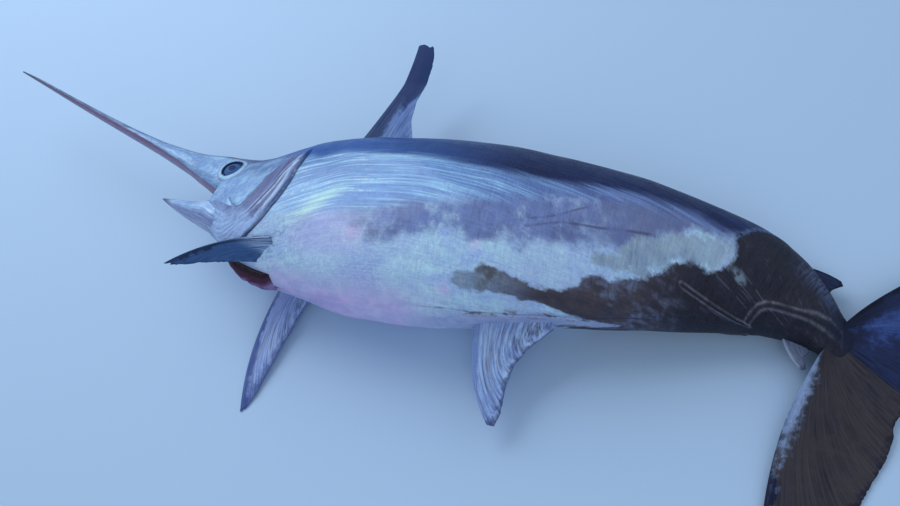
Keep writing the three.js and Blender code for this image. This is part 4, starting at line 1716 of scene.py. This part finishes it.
    def back(self, colour: Value) -> Value:
        """Blue-black back whose edge is drawn out into streaks.

        Args:
            colour: the colour beneath.

        Returns:
            The colour with this layer over it.
        """
        navy = self.rise(0.28, 0.6).blend(tone(32, 82, 154), tone(11, 27, 72))
        navy = navy.coated(
            self.rise(0.3, 0.6).blend(tone(69, 121, 204), tone(34, 57, 123)), self.streak, 0.4
        )
        navy = navy.coated(tone(10, 26, 64), self.round.step(0.26, 0.08), 0.7)
        navy = navy.coated(self.streak.blend(tone(19, 36, 84), tone(36, 59, 115)), self.rise(0.2, 0.1))
        return colour.coated(navy, self.back_mask, self.rise(0.9, 0.86))

    def bill(self, colour: Value) -> Value:
        """Rose underside of the bill and the dark wall at the back of the mouth.

        Args:
            colour: the colour beneath.

        Returns:
            The colour with this layer over it.
        """
        rose = (self.streak * 0.5).blend(tone(122, 88, 130), tone(160, 120, 166))
        rose = rose.coated(tone(100, 88, 116), self.rise(-0.2, -0.44))
        rim = self.line("rose_palate", -1.0, 3.0) * self.rise(0.118, 0.112)
        colour = colour.coated(rose, self.torn("rose_palate", 3.0, 8.0, 30.0), self.rise(0.118, 0.112))
        colour = colour.coated(tone(70, 60, 104), rim, 0.6)
        mouth = self.along.bell(0.115, 0.0032) * self.round.step(0.55, 0.7)
        return colour.coated(tone(58, 28, 54), mouth)

    def openings(self, colour: Value) -> Value:
        """The gill slit with rose lips, near-black maroon inside: partly the flesh's own colour and partly
        painted shade in the opening.

        Args:
            colour: the colour beneath.

        Returns:
            The colour with this layer over it.
        """
        b = self.b
        lips = b.attribute("gill_slit").bell(-5.0, 8.0) * self.speck.step(0.0, 0.7)
        colour = colour.coated(tone(160, 124, 166), lips, 0.7)
        # Inside the slit: partly the flesh's dark maroon and partly painted shade.
        return colour.coated(tone(34, 14, 32), b.attribute("gill_slit").step(-2.0, 3.0))

    def relief(self) -> Value:
        """Height of the fine streaks and grain."""
        lines = (self.streak * 0.5 + self.hair * 0.35) * self.round.step(0.75, 0.5)
        return lines + self.speck * 0.35 + self.fibre * 0.3 + self.grain * 0.35

    def roughness(self) -> Value:
        """Smooth where silver, rougher on the worn brown patch."""
        return self.patch * 0.12 + (self.brown_mask * 0.14 + 0.32)

    def film(self) -> Value:
        """Less water on the worn brown patch and on the dark back."""
        dry = self.b.math("MAXIMUM", self.brown_mask, self.back_mask)
        return 0.36 - dry * 0.31

    def metal(self) -> Value:
        """A little metal in the silver flank."""
        return self.silver_mask * 0.25


@dataclass
class Finishes:
    """The shared groups and every finish of the fish."""

    streaks: bpy.types.NodeTree = field(default_factory=long_streaks_group)
    torn: bpy.types.NodeTree = field(default_factory=torn_edge_group)
    mottle: bpy.types.NodeTree = field(default_factory=mottle_group)
    rays: bpy.types.NodeTree = field(default_factory=fin_ray_group)

    @staticmethod
    def start(name: str) -> tuple[bpy.types.Material, Board]:
        """A new material and the board of its nodes.

        Args:
            name: name of the material.

        Returns:
            The material and its board.
        """
        material = bpy.data.materials.new(name)
        material.use_nodes = True
        material.node_tree.nodes.clear()
        return material, Board(material.node_tree)

    @staticmethod
    def close(
        board: Board, colour: Value, roughness: object, relief: Value, wet: Wetness,
        metal: object = 0.0, film: object = None,
    ) -> None:
        """Adds the shader to a board.

        Args:
            board: the material's nodes.
            colour: base colour.
            roughness: roughness as a value or a number.
            relief: height of the fine relief.
            wet: how wet the surface is.
            metal: metallic as a value or a number.
            film: a value for the water film, where it isn't the same all over.
        """
        shader = board.node("ShaderNodeBsdfPrincipled")
        board.feed(shader.inputs["Base Color"], colour)
        board.feed(shader.inputs["Roughness"], roughness)
        board.feed(shader.inputs["Metallic"], metal)
        shader.inputs["Specular IOR Level"].default_value = wet.gloss
        board.feed(shader.inputs["Coat Weight"], wet.film if film is None else film)
        shader.inputs["Coat Roughness"].default_value = wet.film_roughness
        bumped = board.node("ShaderNodeBump")
        bumped.inputs["Strength"].default_value = wet.relief
        bumped.inputs["Distance"].default_value = wet.relief_depth
        board.feed(bumped.inputs["Height"], relief)
        board.feed(shader.inputs["Normal"], bumped.outputs[0])
        end = board.node("ShaderNodeOutputMaterial")
        board.feed(end.inputs[0], shader.outputs[0])

    def skin(self) -> bpy.types.Material:
        """The whole skin, painted from the flank outwards.

        Returns:
            The material.
        """
        material, board = self.start("wet_skin")
        paint = SkinPaint(board, self)
        colour = paint.flank()
        for layer in (
            paint.band, paint.silver, paint.scars, paint.brown, paint.pale, paint.folds, paint.head,
            paint.back, paint.bill, paint.openings
        ):
            colour = layer(colour)
        self.close(
            board, colour, paint.roughness(), paint.relief(), Wetness(), paint.metal(), paint.film()
        )
        return material

    def jaw(self) -> bpy.types.Material:
        """White-silver jaw with fine lines, a slate tip and a violet underside.

        Returns:
            The material.
        """
        material, b = self.start("jaw_skin")
        along, level = b.attribute("along"), b.attribute("level")
        place = b.vector(along * UNIT, level * 0.03, 0.0)
        streak = b.group(self.streaks, Place=place, Stretch=12.0, Density=380.0)
        cloud = b.group(self.mottle, Place=place, Scale=26.0)
        colour = streak.blend(tone(136, 173, 225), tone(192, 227, 255))
        colour = colour.coated(tone(122, 147, 206), cloud, 0.35)
        colour = colour.coated(
            streak.blend(tone(96, 97, 154), tone(150, 152, 200)), level.step(1.7, 2.4), 0.8
        )
        colour = colour.coated(tone(60, 80, 131), level.bell(1.02, 0.13), 0.85)
        colour = colour.coated(tone(150, 118, 164), level.step(0.75, 0.5))
        colour = colour.coated(tone(66, 76, 118), along.step(0.035, -0.002))
        relief = streak + cloud * 0.5
        self.close(b, colour, cloud * 0.15 + 0.28, relief, Wetness(relief=0.3))
        return material

    def eye(self) -> bpy.types.Material:
        """Blue-black eye with rings in the iris and a silver white.

        Returns:
            The material.
        """
        material, b = self.start("wet_eye")
        off = b.attribute("off")
        place = b.vector(off * 0.05, b.attribute("bearing"), 0.0)
        cloud = b.group(self.mottle, Place=place, Scale=6.0)
        rings = b.math("SINE", off * 1.5)
        iris = rings.step(-0.2, 0.9).blend(tone(34, 66, 124), tone(78, 122, 180))
        iris = iris.coated(tone(96, 142, 196), cloud, 0.4)
        colour = iris.coated(tone(18, 40, 88), off.step(10.6, 8.8))
        colour = colour.coated(tone(10, 18, 40), off.bell(25.2, 2.8))
        colour = colour.coated(tone(160, 188, 222), off.step(26.4, 27.6))
        wet = Wetness(film=0.12, film_roughness=0.06, gloss=0.05, relief=0.12, relief_depth=0.0006)
        self.close(b, colour, 0.45, rings, wet)
        return material

    def gill(self) -> bpy.types.Material:
        """Dark maroon filaments under violet-rose flesh.

        Returns:
            The material.
        """
        material, b = self.start("gill_flesh")
        comb, across = b.attribute("comb"), b.attribute("across")
        place = b.object_place()
        cloud = b.group(self.mottle, Place=place, Scale=40.0)
        colour = comb.step(0.1, 0.8).blend(tone(26, 10, 24), tone(82, 40, 66))
        flesh = cloud.blend(tone(158, 132, 182), tone(104, 72, 116))
        colour = colour.coated(flesh, (across + cloud * 0.14).step(0.4, 0.62), 0.92)
        colour = colour.coated(tone(34, 16, 34), across.step(0.22, 0.1))
        relief = cloud + comb * 0.6
        self.close(b, colour, 0.42, relief, Wetness(film=0.15, gloss=0.2))
        return material

    def fin(self, look: "FinLook") -> bpy.types.Material:
        """A fin's membrane and rays in its own colours.

        Args:
            look: the fin's colours.

        Returns:
            The material.
        """
        material, b = self.start(look.name)
        across, out = b.attribute("across"), b.attribute("out")
        place = b.object_place()
        rays = b.group(self.rays, Across=across, Out=out, Rays=look.rays)
        fine = b.group(self.rays, Across=across, Out=out, Rays=look.rays * 3.1)
        cloud = b.group(self.mottle, Place=place, Scale=14.0)
        speck = b.group(self.mottle, Place=place, Scale=60.0)
        web = rays.blend(look.web, look.ray)
        web = web.coated(look.fine, fine, 0.4)
        web = web.coated(look.cloud, cloud, speck * 0.5 + 0.35, 0.7)
        lead = across + (cloud - 0.5) * 0.12
        colour = web.coated(
            (rays * 0.15).blend(look.lead, look.fine), lead.step(look.lead_to[1], look.lead_to[0])
        )
        tip = out + (speck - 0.5) * 0.06
        dark = tip.step(look.tip_from[0], look.tip_from[1]) * lead.step(look.tip_to[1], look.tip_to[0])
        colour = colour.coated(look.tip, dark, look.tip_weight)
        root = out.step(look.root_to, look.root_to * 0.35) * fine.step(0.2, 0.8)
        colour = colour.coated(look.root, root, look.root_weight)
        if look.patch_weight > 0:
            spot = abs(across - look.patch[0]) + abs(out - look.patch[1])
            spot = spot + ((speck + fine) * 0.5 - 0.5) * 0.3
            colour = colour.coated(
                fine.blend(*look.patch_tones), spot.step(look.patch[2], look.patch[2] * 0.2),
                look.patch_weight
            )
        relief = rays * 0.5 + (fine * 0.4 + speck * 0.3)
        rough = cloud * 0.16 + 0.46
        self.close(b, colour, rough, relief, Wetness(film=0.05, gloss=0.16, relief=0.45))
        return material


@dataclass(frozen=True)
class FinLook:
    """The colours of a fin: its leading edge, web, rays, tip and root."""

    name: str
    web: tuple[float, ...]
    ray: tuple[float, ...]
    fine: tuple[float, ...]
    cloud: tuple[float, ...]
    lead: tuple[float, ...]
    tip: tuple[float, ...]
    root: tuple[float, ...]
    lead_to: Pair = (0.08, 0.2)
    tip_from: Pair = (0.9, 1.0)
    tip_weight: float = 0.8
    tip_to: Pair = (2.0, 3.0)
    root_to: float = 0.2
    root_weight: float = 0.5
    rays: float = 36.0
    patch: tuple[float, float, float] = (0.2, 0.2, 0.2)
    patch_weight: float = 0.0
    patch_tones: tuple[tuple[float, ...], ...] = (tone(120, 146, 196), tone(184, 206, 240))


FIN_LOOKS = {
    "dorsal_fin": FinLook(
        "dorsal_web", tone(116, 150, 206), tone(60, 84, 146), tone(158, 188, 232), tone(92, 118, 176),
        tone(22, 48, 100), tone(22, 50, 102), tone(112, 140, 196), (0.28, 0.4), (0.46, 0.6), 0.97,
        tip_to=(0.42, 0.58),
    ),
    "anal_fin": FinLook(
        "anal_web", tone(164, 198, 250), tone(38, 54, 108), tone(216, 234, 255), tone(118, 140, 204),
        tone(110, 136, 196), tone(40, 54, 104), tone(170, 186, 226), (0.02, 0.1), (0.9, 0.98), 0.7,
        root_to=0.25,
    ),
    "pectoral_fin_left": FinLook(
        "left_pectoral_web", tone(54, 90, 142), tone(26, 52, 98), tone(92, 130, 180), tone(66, 102, 156),
        tone(18, 34, 72), tone(30, 54, 98), tone(168, 194, 234), root_to=0.34, root_weight=0.9,
        tip_from=(0.92, 1.0),
    ),
    "pectoral_fin_right": FinLook(
        "right_pectoral_web", tone(156, 184, 241), tone(55, 76, 139), tone(220, 238, 255),
        tone(133, 153, 217), tone(66, 89, 152), tone(64, 83, 141), tone(191, 179, 228), root_to=0.3,
        tip_from=(0.8, 1.0),
    ),
    "second_dorsal_fin": FinLook(
        "second_dorsal_web", tone(28, 40, 76), tone(18, 26, 56), tone(50, 66, 106), tone(40, 48, 82),
        tone(16, 24, 52), tone(18, 26, 54), tone(40, 50, 84), rays=12.0,
    ),
    "second_anal_fin": FinLook(
        "second_anal_web", tone(112, 124, 152), tone(70, 78, 106), tone(150, 164, 190), tone(88, 94, 122),
        tone(150, 164, 186), tone(70, 78, 106), tone(104, 112, 138), rays=12.0,
    ),
    # The upper lobe's pale blue patch is painted sheen; the lower lobe's pale patch is its own colour.
    "tail_lobe_upper": FinLook(
        "upper_tail_web", tone(28, 38, 72), tone(16, 22, 48), tone(54, 68, 112), tone(38, 52, 96),
        tone(12, 18, 42), tone(20, 26, 50), tone(18, 20, 36), rays=48.0, tip_from=(0.93, 1.0), root_to=0.34,
        root_weight=0.9, patch=(0.62, 0.36, 0.32), patch_weight=0.75,
        patch_tones=(tone(42, 66, 130), tone(84, 110, 176)),
    ),
    "tail_lobe_lower": FinLook(
        "lower_tail_web", tone(58, 52, 56), tone(36, 34, 44), tone(82, 80, 90), tone(70, 64, 66),
        tone(16, 24, 56), tone(26, 30, 46), tone(34, 32, 46), (0.03, 0.07), rays=48.0, root_weight=0.7,
        tip_from=(0.93, 1.0), patch=(0.1, 0.16, 0.44), patch_weight=0.85,
    ),
}


@dataclass(frozen=True)
class Studio:
    """A pale floor, soft lights, and the camera above the fish's belly side."""

    camera_at: tuple[float, float, float] = (0.7304, -0.7781, 1.5624)
    heading: float = 0.622
    pitch: float = -0.9712
    roll: float = -0.4344
    lens: float = 29.71
    sensor: float = 36.0
    floor_size: float = 14.0
    floor_level: float = -0.0006
    sky: tuple[float, ...] = (0.66, 0.8, 1.0, 1.0)
    sky_strength: float = 0.42

    def floor(self) -> None:
        """A wide pale floor."""
        size, level = self.floor_size, self.floor_level
        corners = [(x * size, y * size, level) for x, y in ((-1, -1), (1, -1), (1, 1), (-1, 1))]
        mesh = bpy.data.meshes.new("floor")
        mesh.from_pydata(corners, [], [(0, 1, 2, 3)])
        made = bpy.data.objects.new("floor", mesh)
        bpy.context.scene.collection.objects.link(made)
        material, b = Finishes.start("pale_floor")
        shader = b.node("ShaderNodeBsdfPrincipled")
        shader.inputs["Base Color"].default_value = tone(180, 206, 234)
        shader.inputs["Roughness"].default_value = 0.7
        end = b.node("ShaderNodeOutputMaterial")
        b.feed(end.inputs[0], shader.outputs[0])
        mesh.materials.append(material)

    def lamp(
        self, name: str, at: Sequence[float], to: Sequence[float], size: float, watts: float,
        colour: Sequence[float],
    ) -> None:
        """Adds a soft square lamp that faces a point.

        Args:
            name: name of the lamp.
            at: where it hangs, in metres.
            to: the point that it faces.
            size: length of its side in metres.
            watts: its power.
            colour: its linear colour.
        """
        light = bpy.data.lights.new(name, "AREA")
        light.shape, light.size, light.energy, light.color = "SQUARE", size, watts, colour
        made = bpy.data.objects.new(name, light)
        made.location = at
        made.rotation_euler = (Vector(to) - Vector(at)).to_track_quat("-Z", "Y").to_euler()
        bpy.context.scene.collection.objects.link(made)

    def lights(self) -> None:
        """A cool key from the head's side, a fill from the belly and a dim sky."""
        self.lamp("key", (-2.3, 2.0, 3.2), (-0.3, 0.0, 0.1), 3.6, 118.0, (0.84, 0.92, 1.0))
        self.lamp("fill", (1.2, -3.0, 2.6), (0.1, 0.0, 0.1), 3.2, 36.0, (0.86, 0.93, 1.0))
        self.lamp("rim", (2.4, 2.2, 2.2), (0.6, 0.0, 0.1), 2.4, 12.0, (0.84, 0.92, 1.0))
        world = bpy.data.worlds.new("sky")
        world.use_nodes = True
        shade = world.node_tree.nodes["Background"]
        shade.inputs[0].default_value = self.sky
        shade.inputs[1].default_value = self.sky_strength
        bpy.context.scene.world = world

    def camera(self) -> None:
        """The camera at the viewing angle of the photograph."""
        cy, sy, cp, sp = (f(v) for v in (self.heading, self.pitch) for f in (math.cos, math.sin))
        ahead = Vector((-sy * cp, cy * cp, sp))
        right = Vector((cy, sy, 0.0))
        up = right.cross(ahead)
        c, s = math.cos(self.roll), math.sin(self.roll)
        x, y = right * c + up * s, up * c - right * s
        turned = Matrix((x, y, -ahead)).transposed()
        data = bpy.data.cameras.new("camera")
        data.lens, data.sensor_width, data.sensor_fit = self.lens, self.sensor, "HORIZONTAL"
        made = bpy.data.objects.new("camera", data)
        made.matrix_world = Matrix.Translation(self.camera_at) @ turned.to_4x4()
        bpy.context.scene.collection.objects.link(made)
        bpy.context.scene.camera = made

    def build(self) -> None:
        """Sets the stage."""
        self.floor()
        self.lights()
        self.camera()
        bpy.context.scene.view_settings.view_transform = "Standard"


def dress(piece: bpy.types.Object, material: bpy.types.Material) -> None:
    """Gives a piece its material and its body, and reports it.

    Args:
        piece: the object.
        material: its finish.
    """
    piece.data.materials.append(material)
    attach(piece, "root")
    log.info("%s: %d faces", piece.name, len(piece.data.polygons))


def main() -> None:
    """Builds the stage and the fish."""
    logging.basicConfig(level=logging.INFO, format="%(message)s")
    Studio().build()
    finishes = Finishes()
    dress(Skin().build(), finishes.skin())
    dress(LowerJaw().build(), finishes.jaw())
    eye = finishes.eye()
    for side in (1, -1):
        dress(Eye(side).build(), eye)
    dress(Gills().build(), finishes.gill())
    for fin in fins():
        dress(fin.build(), finishes.fin(FIN_LOOKS[fin.node]))


if __name__ == "__main__":
    main()
